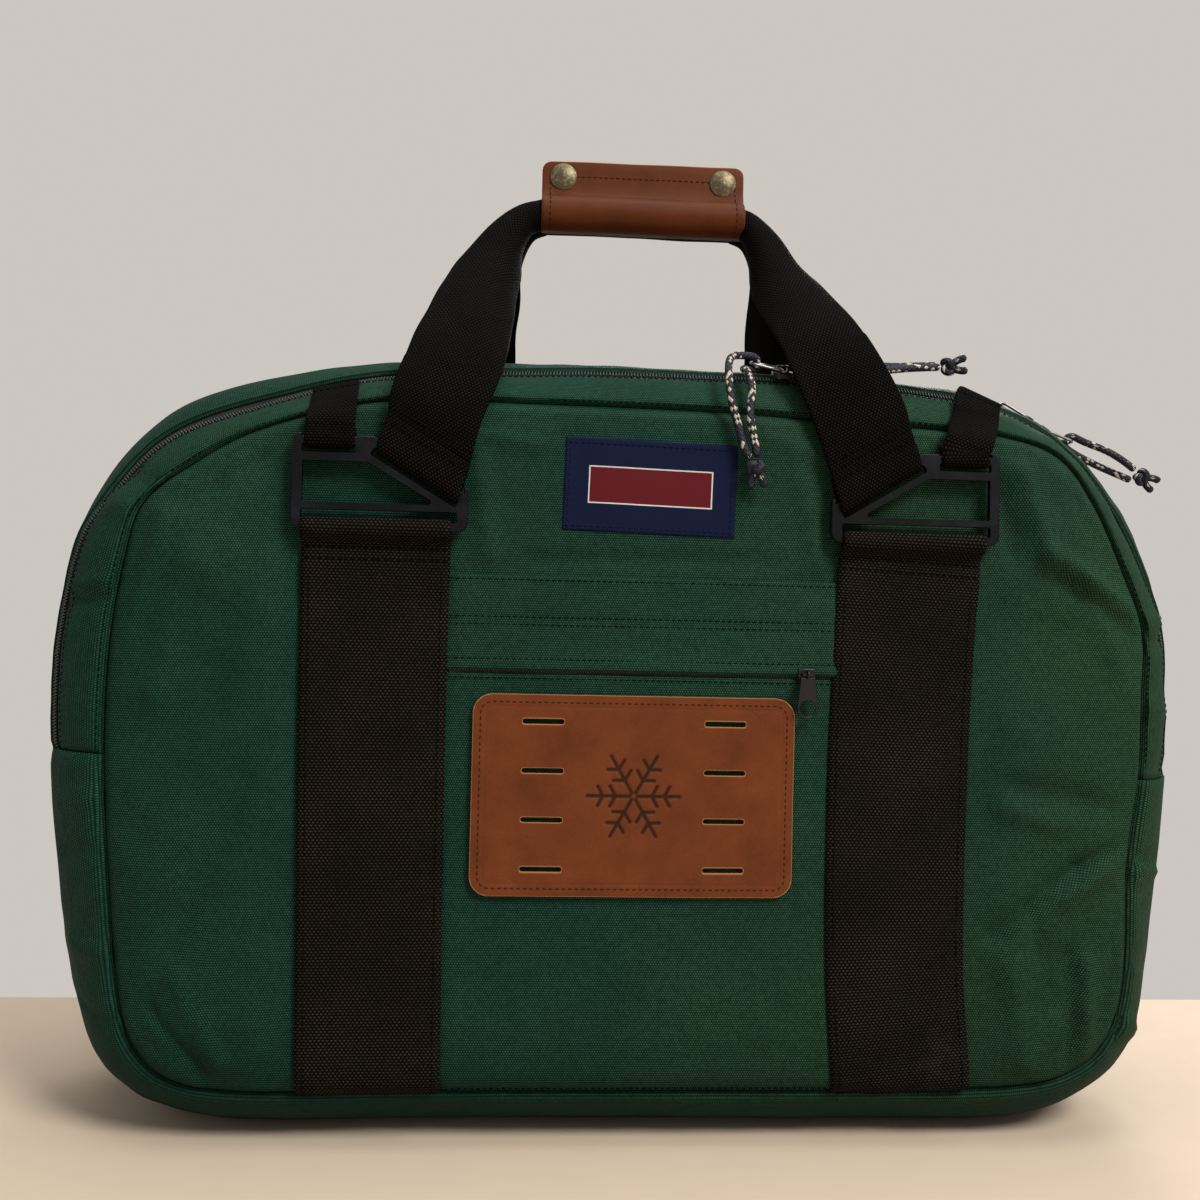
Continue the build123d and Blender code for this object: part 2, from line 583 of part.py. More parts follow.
def front_place(x, closing):
    """Slider frame on the straight front zipper. closing is +1 where the slider closes towards +X."""
    tilt = math.radians(FRONT_TILT)
    return Plane(origin=(x, front_seat.Y, front_seat.Z), x_dir=(closing, 0, 0),
                 z_dir=(0, -math.sin(tilt), math.cos(tilt))).location


def arc_place(angle, closing):
    """Slider frame on the rear zipper's right corner, at an angle from the top of the arc."""
    turn = math.radians(angle)
    return Plane(
        origin=(ARC_X + rear_seat_r * math.sin(turn), REAR_ZIP_Y, ARC_Z + rear_seat_r * math.cos(turn)),
        x_dir=(closing * math.cos(turn), 0, -closing * math.sin(turn)),
        z_dir=(math.sin(turn), 0, math.cos(turn)),
    ).location


HALF_PITCH_ANGLE = math.degrees(math.atan2(HALF_PITCH, rear_seat_r))
slider_places = {
    "a": front_place(SLIDER_MEET_X - HALF_PITCH, 1),
    "b": front_place(SLIDER_MEET_X + HALF_PITCH, -1),
    "c": arc_place(SLIDER_MEET_ANGLE + HALF_PITCH_ANGLE, -1),
    "d": arc_place(SLIDER_MEET_ANGLE - HALF_PITCH_ANGLE, 1),
}
WIRE_LIFT = {"a": 10.0, "b": 10.0, "c": 14.0, "d": 2.0}   # degrees off the tape
for letter, place in slider_places.items():
    save(place * slider_form, f"zip_slider_{letter}")
    wire_place = Location((-BRIDGE_L / 2 + BRIDGE_T + WIRE_R, 0, WIRE_Z), (0, WIRE_LIFT[letter], 0))
    save(place * wire_place * wire_form, f"wire_pull_{letter}")

pocket_slider_form = make_slider(
    POCKET_SLIDER_L, POCKET_SLIDER_W, POCKET_SLIDER_H, POCKET_SLIDER_L - 3, POCKET_BRIDGE_W)
pocket_seat = Plane(origin=(POCKET_SLIDER_X, OVERLAY_Y - OVERLAY_T - 0.1 - REST_GAP, POCKET_ZIP_Z),
                    x_dir=(1, 0, 0), z_dir=(0, -1, 0))
save(pocket_seat.location * pocket_slider_form, "pocket_slider")

# The tab hangs on the slider's bridge by a moulded eye that stands square to the tab.
EYE_WIRE_R = 0.55
EYE_R = 1.75
EYE_Z = POCKET_SLIDER_H + BRIDGE_GAP + BRIDGE_T / 2
hole_centre = (0, POCKET_TAB_END_R - POCKET_TAB_L)
with BuildPart() as pocket_pull_tab:
    with BuildSketch(Plane.XY):
        with BuildLine():
            Polyline(
                (-POCKET_TAB_TOP_W / 2, -EYE_R), (POCKET_TAB_TOP_W / 2, -EYE_R),
                (POCKET_TAB_END_R, hole_centre[1]), (-POCKET_TAB_END_R, hole_centre[1]), close=True,
            )
        make_face()
        with Locations(hole_centre):
            Circle(POCKET_TAB_END_R)
            Circle(POCKET_TAB_HOLE_R, mode=Mode.SUBTRACT)
    extrude(amount=POCKET_TAB_T / 2, both=True)
    chamfer(pocket_pull_tab.faces().filter_by(Axis.Z).edges(), 0.3)
    with Locations(Location((0, 0, 0), (0, 90, 0))):
        Torus(EYE_R, EYE_WIRE_R)
save(pocket_seat.location * Pos(0, 0, EYE_Z) * pocket_pull_tab.part, "pocket_pull_tab")

# ---- pull cords --------------------------------------------------------------
# Each cord is one loop through its wire link. Both strands start inside the link, where they
# meet, and end in the overhand knot. The first corner is the tight fold round the wire.
# Heights count from the crown of the body.
FOLD_SHARE = 0.92           # of its first run, which the tight fold may take
STRANDS = {
    "pull_cord_a_upper": [
        (59.9, -68.4, 3.9), (59.9, -69.8, 7.7), (50.5, -71.5, 7.9), (44.0, -77.5, 6.0),
        (41.0, -86.0, 0.0), (40.3, -92.5, -10.0), (41.0, -96.3, -21.5), (44.5, -97.2, -33.5),
        (47.5, -97.8, -45.0), (50.7, -98.9, -52.5),
    ],
    "pull_cord_a_lower": [
        (59.9, -68.4, 3.9), (59.9, -67.0, 0.1), (51.0, -72.0, 0.6), (51.5, -81.0, -2.0),
        (53.0, -88.5, -9.0), (52.6, -94.3, -18.0), (50.8, -96.8, -29.0), (53.2, -97.6, -40.0),
        (54.9, -98.8, -51.6),
    ],
    "pull_cord_b_upper": [
        (100.2, -68.4, 3.9), (100.2, -69.8, 7.7), (109.6, -67.4, 8.0), (121.0, -63.0, 7.6),
        (134.0, -60.8, 6.9), (147.0, -60.9, 7.6), (162.0, -64.3, 7.8),
    ],
    "pull_cord_b_lower": [
        (100.2, -68.4, 3.9), (100.2, -67.0, 0.1), (109.4, -70.0, 0.4), (121.0, -74.0, 1.0),
        (134.0, -75.2, 2.2), (147.0, -74.0, 4.0), (162.1, -69.3, 5.8),
    ],
    "pull_cord_c_upper": [
        (253.5, -28.0, -25.3), (255.7, -28.0, -21.8), (264.6, -28.6, -26.6), (275.5, -31.2, -30.8),
        (286.5, -32.6, -37.0), (295.0, -30.1, -42.3),
    ],
    "pull_cord_c_lower": [
        (253.5, -28.0, -25.3), (251.3, -28.0, -28.8), (259.9, -27.2, -33.8), (270.5, -24.9, -38.1),
        (282.5, -25.2, -43.0), (294.0, -28.0, -48.3),
    ],
}
KNOTS = {
    # centre, and the way the two loose ends point
    "cord_knot_a": ((54.0, -99.5, -57.5), (0.15, 0.05, -1.0)),
    "cord_knot_b": ((167.5, -66.6, 6.8), (0.9, -0.35, 0.1)),
    "cord_knot_c": ((299.5, -29.2, -46.2), (0.85, -0.05, -0.5)),
}


def bend_radii(points):
    """The radius at each inner point: 0.45 of the shorter run over the tangent of half the turn."""
    radii = []
    for before, here, after in zip(points, points[1:], points[2:]):
        run_in = Vector(*here) - Vector(*before)
        run_out = Vector(*after) - Vector(*here)
        half_turn = math.radians(run_in.get_angle(run_out)) / 2
        share = 0.45 if radii else FOLD_SHARE
        radii.append(share * min(run_in.length, run_out.length) / math.tan(half_turn))
    return radii


for name, low_points in STRANDS.items():
    points = [(x, y, BODY_HEIGHT + z) for x, y, z in low_points]
    radii = bend_radii(points)
    with BuildPart() as strand:
        with BuildLine():
            route = FilletPolyline(*points, radius=radii)
        with BuildSketch(Plane(origin=route @ 0, z_dir=route % 0)):
            Circle(CORD_R)
        sweep()
    expected = math.pi * CORD_R ** 2 * route.length
    print(name, "radii", [round(r, 1) for r in radii], "length", round(route.length, 1),
          "volume share", round(strand.part.volume / expected, 3))
    save(strand.part, name)

for name, (centre, ends) in KNOTS.items():
    way = Vector(*ends).normalized()
    with BuildPart(Plane(origin=Vector(0, 0, BODY_HEIGHT) + Vector(*centre), z_dir=way)) as knot:
        Sphere(KNOT_R - 0.6)
        for lean in (-16, 16):
            with Locations(Location((0, 0, 0), (0, lean, 0))):
                Cylinder(CORD_R, 14, align=(Align.CENTER, Align.CENTER, Align.MIN))
    save(knot.part, name)
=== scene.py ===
"""Looks of a soft sided zip holdall: cloth body, webbing, leather, zips and cord pulls."""
import math

import bpy
import numpy as np
from bpy.props import FloatProperty, FloatVectorProperty, PointerProperty
from mathutils import Matrix, Vector, noise


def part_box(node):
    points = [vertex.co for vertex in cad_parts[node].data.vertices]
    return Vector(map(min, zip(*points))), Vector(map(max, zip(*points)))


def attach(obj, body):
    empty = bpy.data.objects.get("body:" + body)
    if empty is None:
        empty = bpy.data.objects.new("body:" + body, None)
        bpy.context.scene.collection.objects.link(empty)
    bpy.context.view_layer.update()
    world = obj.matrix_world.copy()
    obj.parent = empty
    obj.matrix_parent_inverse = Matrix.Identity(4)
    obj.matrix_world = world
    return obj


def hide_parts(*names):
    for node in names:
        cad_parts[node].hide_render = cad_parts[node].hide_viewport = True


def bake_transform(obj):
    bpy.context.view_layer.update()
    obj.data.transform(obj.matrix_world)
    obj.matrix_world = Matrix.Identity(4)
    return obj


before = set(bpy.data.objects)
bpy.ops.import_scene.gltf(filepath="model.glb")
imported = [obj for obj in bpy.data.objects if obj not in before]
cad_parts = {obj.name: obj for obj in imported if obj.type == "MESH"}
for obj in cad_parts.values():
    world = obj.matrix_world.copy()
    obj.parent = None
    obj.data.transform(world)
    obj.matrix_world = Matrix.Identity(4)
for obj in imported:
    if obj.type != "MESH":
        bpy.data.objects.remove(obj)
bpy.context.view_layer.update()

bl_info = {
    "name": "Zip holdall",
    "version": (1, 0, 0),
    "blender": (4, 5, 0),
    "location": "View3D > Sidebar > Holdall",
    "description": "Builds the cloth, webbing, leather and zips of a soft sided holdall",
    "category": "Object",
}

MM = 0.001
SIDES = {"left": -1, "right": 1}
ENDS = {"front": -1, "rear": 1}
CLOTH = "cloth"                      # point attribute: place on the flat cloth, in mm


def span(node):
    """Lowest and highest corner of a frame node, in mm."""
    low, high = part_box(node)
    return np.array(low) / MM, np.array(high) / MM


def middle_y(node):
    low, high = span(node)
    return (low[1] + high[1]) / 2


# ---- places taken from the frame, in mm ------------------------------------------
STRAP_LOW, STRAP_HIGH = span("wide_strap_front_left")
LINK_LOW, _ = span("link_front_left")
TAB_LOW, TAB_HIGH = span("tab_front_left")
PATCH_LOW, PATCH_HIGH = span("leather_patch")
LABEL_LOW, LABEL_HIGH = span("woven_label")
POCKET_LOW, POCKET_HIGH = span("pocket_front")
PLACKET_LOW, PLACKET_HIGH = span("pocket_placket")
GRIP_LOW, GRIP_HIGH = span("grip_flap")
_, WRAP_HIGH = span("grip_wrap")
PANEL_FACE_Y = span("front_panel")[0][1]
COIL_SET_BACK = 1.4                          # from the middle of the slider to the coil's middle
FRONT_ZIP_Y = middle_y("zip_slider_a") + COIL_SET_BACK
REAR_ZIP_Y = middle_y("zip_slider_d")
LINK_Y = middle_y("link_front_left")
GRIP_Y = (GRIP_LOW[1] + WRAP_HIGH[1]) / 2
GRIP_LENGTH = GRIP_HIGH[0] - GRIP_LOW[0]
GRIP_R = (WRAP_HIGH[1] - GRIP_LOW[1]) / 2
GRIP_Z = GRIP_LOW[2] + GRIP_R
SEAM_Z = span("middle_top_strip")[0][2]
BODY_MIDDLE_Z = 207.0                        # half way up the body
STRAP_BAR_Z = LINK_LOW[2] + 2.4              # the link's lowest bar, which holds the wide strap
TAB_BAR_Z = LINK_LOW[2] + 45.4               # its highest bar, which holds the tab
BAR_R = 2.2                                  # half thickness of the link's bars
CLOTH_THICK = 1.3


# ---- colours and sizes a user would change ---------------------------------------
def colour(name, description, value):
    return FloatVectorProperty(name=name, description=description, subtype="COLOR", size=3,
                               min=0, max=1, default=value)


def length(name, description, millimetres):
    return FloatProperty(name=name, description=description, subtype="DISTANCE", unit="LENGTH",
                         default=millimetres * MM)


class HoldallColours(bpy.types.PropertyGroup):
    """Finishes of the holdall."""
    packcloth: colour("Packcloth", "Body cloth", (0.0014, 0.0095, 0.0062))
    # painted highlight: the sheen colour that the raised picks of the body cloth take
    packcloth_sheen: colour("Cloth sheen", "Lighter threads of the body cloth", (0.0200, 0.0900, 0.0560))
    webbing: colour("Webbing", "Straps, tabs and handles", (0.0022, 0.0018, 0.0015))
    # painted highlight: the colour that the raised picks of the webbing take
    webbing_pick_highlight: colour("Webbing thread", "Raised threads of the webbing", (0.0480, 0.0400, 0.0305))
    leather: colour("Leather", "Patch", (0.134, 0.0350, 0.0105))
    grip: colour("Grip leather", "Handled, darker leather of the grip", (0.080, 0.0200, 0.0044))
    leather_edge: colour("Leather edge", "Raw cut edge", (0.36, 0.155, 0.052))
    link: colour("Links", "Moulded links", (0.0016, 0.0019, 0.0032))
    label: colour("Label", "Woven label", (0.0030, 0.0058, 0.0270))
    label_band: colour("Label band", "Woven band on the label", (0.105, 0.0085, 0.0115))
    label_edge: colour("Label edging", "Pale threads on the label", (0.62, 0.60, 0.55))
    tape: colour("Zip tape", "Zip tapes", (0.0020, 0.0024, 0.0024))
    coil: colour("Zip coil", "Zip coils", (0.0070, 0.0074, 0.0080))
    slider: colour("Sliders", "Enamelled sliders and pocket pull", (0.0050, 0.0050, 0.0065))
    wire: colour("Wire", "Wire pulls", (0.20, 0.20, 0.21))
    snap: colour("Snaps", "Aged brass snaps", (0.100, 0.080, 0.048))
    cord: colour("Cord", "Cord sheath", (0.0060, 0.0050, 0.0135))
    cord_fleck: colour("Cord fleck", "Pale tracer threads in the cord", (0.46, 0.40, 0.31))
    thread: colour("Thread", "Stitching on the cloth", (0.0010, 0.0050, 0.0033))
    backdrop: colour("Backdrop", "Behind the holdall", (0.60, 0.57, 0.53))
    floor: colour("Floor", "Under the holdall", (0.62, 0.485, 0.36))


class HoldallSizes(bpy.types.PropertyGroup):
    """Sizes that the looks add to the frame."""
    cloth_thread: length("Cloth thread", "Pitch of the body cloth's threads", 1.32)
    web_pick: length("Webbing pick", "Height of one row of the webbing's weave", 1.50)
    web_thickness: length("Webbing thickness", "Thickness of the straps and tabs", 1.8)
    overlay: length("Overlay", "Height of the pocket cloth over the panel", 1.2)
    stitch: length("Stitch", "Length of one stitch", 2.5)
    stitch_pitch: length("Stitch pitch", "From one stitch to the next", 3.3)
    tooth_pitch: length("Tooth pitch", "From one tooth of the zip's coil to the next", 1.7)
    cord: length("Cord diameter", "Diameter of the zip pull cords", 4.2)
    leather: length("Leather thickness", "Thickness of the grip's leather", 2.2)


# ---- lines and directions ----------------------------------------------------------
def catmull(p0, p1, p2, p3, f):
    """Points of a Catmull-Rom curve, a share f of the way from p1 to p2."""
    return 0.5 * (2 * p1 + (p2 - p0) * f + (2 * p0 - 5 * p1 + 4 * p2 - p3) * f ** 2
                  + (3 * p1 - p0 - 3 * p2 + p3) * f ** 3)


def unit(vectors):
    """Vectors brought to a length of 1."""
    return vectors / np.linalg.norm(vectors, axis=-1, keepdims=True)


def lengths_along(points):
    """Length of a line of points from its start to each point."""
    return np.concatenate(([0], np.cumsum(np.linalg.norm(np.diff(points, axis=0), axis=1))))


# ---- body outline ----------------------------------------------------------------
# Each station round the bag, in mm: the front seam, the front zip's line and the widest
# line, each as x, z. The right side hangs lower than the left, as a worn bag does.
STATIONS = [
    ((0, 28.4), (0, 8), (0, 0)),
    ((-115, 28.6), (-118, 8), (-120, 0)),
    ((-200, 28), (-207, 8), (-212, 0)),
    ((-238, 33), (-250, 17), (-258, 8)),
    ((-258, 48), (-277, 34), (-285, 28)),
    ((-268, 74), (-292, 64), (-299, 60)),
    ((-274, 125), (-304, 122), (-311, 122)),
    ((-279, 195), (-311, 195), (-318, 195)),
    ((-278, 258), (-311, 262), (-318, 262)),
    ((-271, 306), (-301, 312), (-311, 306)),
    ((-263, 331), (-285, 338), (-300, 339)),
    ((-241, 350), (-259, 366), (-278, 373)),
    ((-204, 371), (-217, 384), (-239, 398)),
    ((-140, 388), (-150, 403), (-160, 415)),
    ((-60, 389), (-62, 410), (-64, 419)),
    ((30, 388), (30, 411), (30, 418)),
    ((98, 385), (98, 410.5), (98, 416)),
    ((160, 382), (165, 405), (168, 413)),
    ((196, 379), (204, 395), (212, 402.5)),
    ((224, 369), (232, 379), (238, 389.5)),
    ((243, 345), (256, 353), (263, 367)),
    ((259, 311), (278, 316), (286, 333)),
    ((272, 275), (293, 276), (300, 288)),
    ((272, 238), (295, 238), (303, 240)),
    ((271, 196), (295, 196), (303, 196)),
    ((265, 150), (291, 150), (299, 150)),
    ((264, 92), (285, 90), (293, 88)),
    ((256, 58), (275, 46), (283, 42)),
    ((236, 38), (250, 22), (258, 16)),
    ((200, 30), (207, 8), (212, 2)),
    ((115, 28.4), (118, 7), (120, 0)),
]
LOOPS = np.array(STATIONS, float)            # station, line, x or z
PANEL_CENTRE = np.array((0.0, 205.0))
SEAM_Y = PANEL_FACE_Y + 6.4                  # the front seam lies in a groove
REAR_SEAM_Y = -SEAM_Y


def loop_points(t):
    """The three lines at loop places t, by a closed Catmull-Rom curve through the stations."""
    t = np.asarray(t, float) % len(LOOPS)
    i = np.floor(t).astype(int)
    f = (t - i)[:, None, None]
    return catmull(*(LOOPS[(i + k) % len(LOOPS)] for k in (-1, 0, 1, 2)), f)


def even_places(start, end, step):
    """Loop places from start to end, evenly spaced along the widest line, about step mm apart."""
    fine = np.linspace(start, end, 3000)
    line = loop_points(fine)[:, 2]
    run = lengths_along(line)
    count = int(round(run[-1] / step))
    wanted = np.linspace(0, run[-1], count + 1)
    return np.interp(wanted, run, fine), wanted


FINE_T = np.linspace(0, len(LOOPS), 4000, endpoint=False)
FINE_SEAM = loop_points(FINE_T)[:, 0]
SEAM_ANGLE = np.arctan2(FINE_SEAM[:, 1] - PANEL_CENTRE[1], FINE_SEAM[:, 0] - PANEL_CENTRE[0])
ORDER = np.argsort(SEAM_ANGLE)
SEAM_ANGLE = SEAM_ANGLE[ORDER]
SEAM_RUN = lengths_along(FINE_SEAM)[ORDER]
SEAM_REACH = np.linalg.norm(FINE_SEAM - PANEL_CENTRE, axis=1)[ORDER]


def cross_seam_place(side, height):
    """Loop place where the widest line passes a height on one side."""
    line = loop_points(FINE_T)[:, 2]
    on_side = np.sign(line[:, 0]) == side
    gap = np.where(on_side, np.abs(line[:, 1] - height), 1e9)
    return FINE_T[int(np.argmin(gap))]


LEFT_SEAM_T = cross_seam_place(-1, SEAM_Z + 1)
RIGHT_SEAM_T = cross_seam_place(1, SEAM_Z - 5)

# Soft folds of the panels: both ends as x, z, half width and height outwards, all in mm.
FOLDS = [
    ((-212, 354), (-232, 300), 8, 3.6), ((-232, 300), (-252, 232), 9, 3.0),
    ((-222, 336), (-240, 262), 6, -2.4), ((-250, 326), (-268, 262), 5, 2.6),
    ((-262, 318), (-274, 268), 4, -2.2), ((-196, 300), (-212, 214), 9, 2.0),
    ((-222, 208), (-262, 120), 12, 3.0), ((-206, 190), (-240, 104), 7, -2.0),
    ((-205, 120), (-240, 60), 9, 2.4), ((-228, 30), (-262, 62), 3.6, 3.2),
    ((-222, 38), (-250, 74), 3.6, -2.8), ((-214, 46), (-238, 90), 4.5, 2.2),
    ((-254, 343), (-214, 367), 4, 2.2), ((-240, 330), (-200, 356), 5, -1.6),
    ((-262, 150), (-276, 96), 5, 2.2), ((201, 360), (214, 312), 6, 3.6), ((187, 352), (196, 312), 4.5, -2.4),
    ((214, 316), (273, 281), 5, 4.4), ((220, 304), (272, 268), 5.5, -3.4), ((205, 374), (250, 330), 6, 2.4),
    ((230, 348), (262, 296), 4.5, -2.2), ((236, 300), (266, 236), 7, 2.2), ((192, 180), (224, 170), 6, 3.0),
    ((198, 192), (264, 178), 5.5, -2.6), ((262, 163), (233, 149), 2.8, -3.6),
    ((233, 149), (188, 112), 4.6, -3.2), ((262, 154), (224, 133), 4.5, 3.4),
    ((229, 104), (231, 42), 3.4, -3.2), ((237, 100), (241, 48), 4, 3.0), ((196, 98), (206, 42), 7, 2.4),
    ((206, 128), (222, 76), 5, -2.0), ((252, 88), (240, 40), 3.6, -2.4), ((212, 30), (244, 54), 3.4, 2.6),
    ((-92, 366), (-84, 308), 6, 2.0), ((78, 362), (90, 306), 6, 2.0), ((60, 376), (94, 364), 5, 1.6),
    ((-96, 372), (-60, 366), 5, 1.6), ((-62, 306), (62, 308), 5, -1.2), ((-40, 372), (-36, 330), 9, -0.9),
]


def segment_gap(x, z, start, end):
    """Distance from points to a segment."""
    ax, az = start
    dx, dz = end[0] - ax, end[1] - az
    along = np.clip(((x - ax) * dx + (z - az) * dz) / (dx * dx + dz * dz), 0, 1)
    return np.hypot(x - ax - along * dx, z - az - along * dz)


def seam_distance(x, z):
    """How far points of the panel lie inside the seam, in mm."""
    angle = np.arctan2(z - PANEL_CENTRE[1], x - PANEL_CENTRE[0])
    reach = np.interp(angle, SEAM_ANGLE, SEAM_REACH, period=2 * math.pi)
    return reach - np.hypot(x - PANEL_CENTRE[0], z - PANEL_CENTRE[1])


def soft_noise(x, z, size, seed):
    """Smooth noise, the same in each run."""
    flat_x, flat_z = np.ravel(x), np.ravel(z)
    values = [noise.noise(Vector((a / size, b / size, seed))) for a, b in zip(flat_x, flat_z)]
    return np.array(values).reshape(np.shape(x))


PANEL_RISE, RISE_REACH = 8.2, 4.2            # padding of a panel, and how near the seam it comes
SEAM_SINK = 1.8                              # depth of the seam under the edge of the side wall
LOBE_X, LOBE_RISE = 176, 3.2                 # outside the straps the ends bulge
FOLD_SHARE = {-1: 1.2, 1: 0.6}               # the rear panel is held flatter than the front
STRAP_X, STRAP_CALM = 141, 40                # cloth under a strap lies flat
PUCKER, PUCKER_REACH = 0.9, 4.5              # small puckers beside the seam


def panel_y(x, z, end=-1):
    """Depth of the front cloth (end -1) or the rear cloth (end 1) at a place, in mm."""
    x, z = np.asarray(x, float), np.asarray(z, float)
    inside = seam_distance(x, z)
    roll = 0.9 * np.exp(-((inside - 5) / 3) ** 2)
    out = PANEL_RISE * (1 - np.exp(-np.clip(inside, 0, None) / RISE_REACH)) - SEAM_SINK + roll
    lobe = np.clip((np.abs(x) - LOBE_X) / 26, 0, 1) * np.clip(inside / 34, 0, 1)
    out = out + LOBE_RISE * lobe * lobe * (3 - 2 * lobe)
    calm = np.clip(inside / 20, 0, 1)
    for start, finish, width, height in FOLDS:
        ridge = np.exp(-(segment_gap(x, z, start, finish) / width) ** 1.6)
        out = out + calm * FOLD_SHARE[end] * height * ridge
    free = np.clip((np.abs(np.abs(x) - STRAP_X) - STRAP_CALM) / 14, 0, 1)
    beside = calm * (0.30 + free * np.clip((np.abs(x) - 100) / 60, 0, 1))
    broad, fine = soft_noise(x, z, 58, 3.7 * end), soft_noise(x + z * 0.4, z, 23, 7.3 * end)
    out = out + beside * (2.2 * broad + 1.0 * fine)
    angle = np.arctan2(z - PANEL_CENTRE[1], x - PANEL_CENTRE[0])
    run = np.interp(angle, SEAM_ANGLE, SEAM_RUN, period=2 * math.pi)
    near = np.clip(inside, 0, None) / PUCKER_REACH
    out = out + PUCKER * near * np.exp(1 - near) * soft_noise(run, 0 * run, 9, 5.1 + end)
    return end * (-SEAM_Y + out)


# ---- mesh helpers ------------------------------------------------------------------
def new_object(name, vertices, faces, cloth=None):
    """A mesh object from points in mm, with the cloth attribute if it is given."""
    name = name.replace(" ", "_")
    mesh = bpy.data.meshes.new(name)
    mesh.from_pydata([tuple(v) for v in np.asarray(vertices, float) * MM], [], faces)
    mesh.validate()
    if cloth is not None:
        attribute = mesh.attributes.new(CLOTH, "FLOAT_VECTOR", "POINT")
        flat = np.zeros((len(vertices), 3), np.float32)
        flat[:, :2] = cloth
        attribute.data.foreach_set("vector", flat.ravel())
    mesh.shade_smooth()
    piece = bpy.data.objects.new(name, mesh)
    bpy.context.scene.collection.objects.link(piece)
    return piece


def grid_faces(rows, columns, closed=False, flip=False):
    """Quads of a grid whose points run column by column within each row."""
    faces = []
    for r in range(rows - 1):
        for c in range(columns if closed else columns - 1):
            d = (c + 1) % columns
            quad = (r * columns + c, r * columns + d, (r + 1) * columns + d, (r + 1) * columns + c)
            faces.append(quad[::-1] if flip else quad)
    return faces


def made_mesh(piece):
    """A new mesh of an object as its modifiers or its curve make it."""
    bpy.context.view_layer.update()
    graph = bpy.context.evaluated_depsgraph_get()
    return bpy.data.meshes.new_from_object(piece.evaluated_get(graph), depsgraph=graph)


def modify(piece, kind, **settings):
    """Adds a modifier and applies it at once, so that the mesh is final."""
    modifier = piece.modifiers.new(kind.title(), kind)
    for key, value in settings.items():
        setattr(modifier, key, value)
    mesh = made_mesh(piece)
    piece.modifiers.clear()
    old, piece.data = piece.data, mesh
    bpy.data.meshes.remove(old)
    mesh.name = piece.name
    return piece


def thicken(piece, millimetres, offset=-1.0):
    return modify(piece, "SOLIDIFY", thickness=millimetres * MM, offset=offset)


def vertex_places(piece):
    """Points of a piece, in mm."""
    place = np.empty(len(piece.data.vertices) * 3)
    piece.data.vertices.foreach_get("co", place)
    return place.reshape(-1, 3) / MM


def move_vertices(piece, place):
    piece.data.vertices.foreach_set("co", (place * MM).ravel())
    piece.data.update()


def face_outwards(piece, way):
    """Turns an open sheet over where its first face looks away from a direction."""
    if piece.data.polygons[0].normal.dot(Vector(way)) < 0:
        piece.data.flip_normals()


def dress(piece, material, body, slot, *nodes):
    """Gives a finished piece its material, body and the nodes it stands for. The slot is not used."""
    if material is not None:
        piece.data.materials.clear()
        piece.data.materials.append(material)
    if body is not None:
        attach(piece, body)
    if nodes:
        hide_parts(*nodes)
    return piece


# ---- material helpers --------------------------------------------------------------
class Tree:
    """Short hand for building one material's nodes."""

    def __init__(self, name, colour, roughness, **sockets):
        self.material = bpy.data.materials.new(name)
        self.material.use_nodes = True
        self.nodes = self.material.node_tree.nodes
        self.links = self.material.node_tree.links
        self.shader = self.nodes["Principled BSDF"]
        self.put(self.shader, "Base Color", (*colour, 1))
        self.put(self.shader, "Roughness", roughness)
        for key, value in sockets.items():
            self.put(self.shader, key.replace("_", " "), value)

    def wire(self, source, node, socket):
        self.links.new(source, node.inputs[socket])

    def put(self, node, socket, value):
        if isinstance(value, bpy.types.NodeSocket):
            self.wire(value, node, socket)
        elif value is not None:
            node.inputs[socket].default_value = value

    def maths(self, operation, a, b=None, c=None):
        node = self.nodes.new("ShaderNodeMath")
        node.operation = operation
        for index, value in enumerate((a, b, c)):
            self.put(node, index, value)
        return node.outputs[0]

    def ramp(self, value, low, high, to_low=0.0, to_high=1.0):
        node = self.nodes.new("ShaderNodeMapRange")
        for index, number in enumerate((value, low, high, to_low, to_high)):
            self.put(node, index, number)
        return node.outputs[0]

    def blend(self, share, a, b):
        node = self.nodes.new("ShaderNodeMix")
        node.data_type = "RGBA"
        self.put(node, 0, share)
        for index, value in ((6, a), (7, b)):
            self.put(node, index, (*value, 1) if isinstance(value, tuple) and len(value) == 3 else value)
        return node.outputs[2]

    def noise(self, vector, scale, detail=2.0, roughness=0.5):
        node = self.nodes.new("ShaderNodeTexNoise")
        self.put(node, "Vector", vector)
        self.put(node, "Scale", scale)
        self.put(node, "Detail", detail)
        self.put(node, "Roughness", roughness)
        return node.outputs["Fac"]

    def object_place(self):
        return self.nodes.new("ShaderNodeTexCoord").outputs["Object"]

    def parts(self, vector):
        node = self.nodes.new("ShaderNodeSeparateXYZ")
        self.wire(vector, node, 0)
        return node.outputs

    def cloth_place(self):
        node = self.nodes.new("ShaderNodeAttribute")
        node.attribute_name = CLOTH
        return node.outputs["Vector"]

    def bump(self, height, distance, strength=1.0, over=None):
        node = self.nodes.new("ShaderNodeBump")
        self.put(node, "Height", height)
        self.put(node, "Distance", distance * MM)
        self.put(node, "Strength", strength)
        if over is not None:
            self.wire(over, node, "Normal")
        return node.outputs[0]

    def finish(self, colour=None, roughness=None, normal=None):
        for socket, value in (("Base Color", colour), ("Roughness", roughness), ("Normal", normal)):
            if value is not None:
                self.wire(value, self.shader, socket)
        return self.material


def colours():
    return bpy.context.scene.holdall_colours


def sizes():
    return bpy.context.scene.holdall_sizes


def once(name, maker):
    """A material of that name, made the first time it is asked for."""
    return bpy.data.materials.get(name) or maker(name)


def ridges(tree, value, pitch):
    """Rounded ridges, pitch apart."""
    return tree.maths("ABSOLUTE", tree.maths("SINE", tree.maths("MULTIPLY", value, math.pi / pitch)))


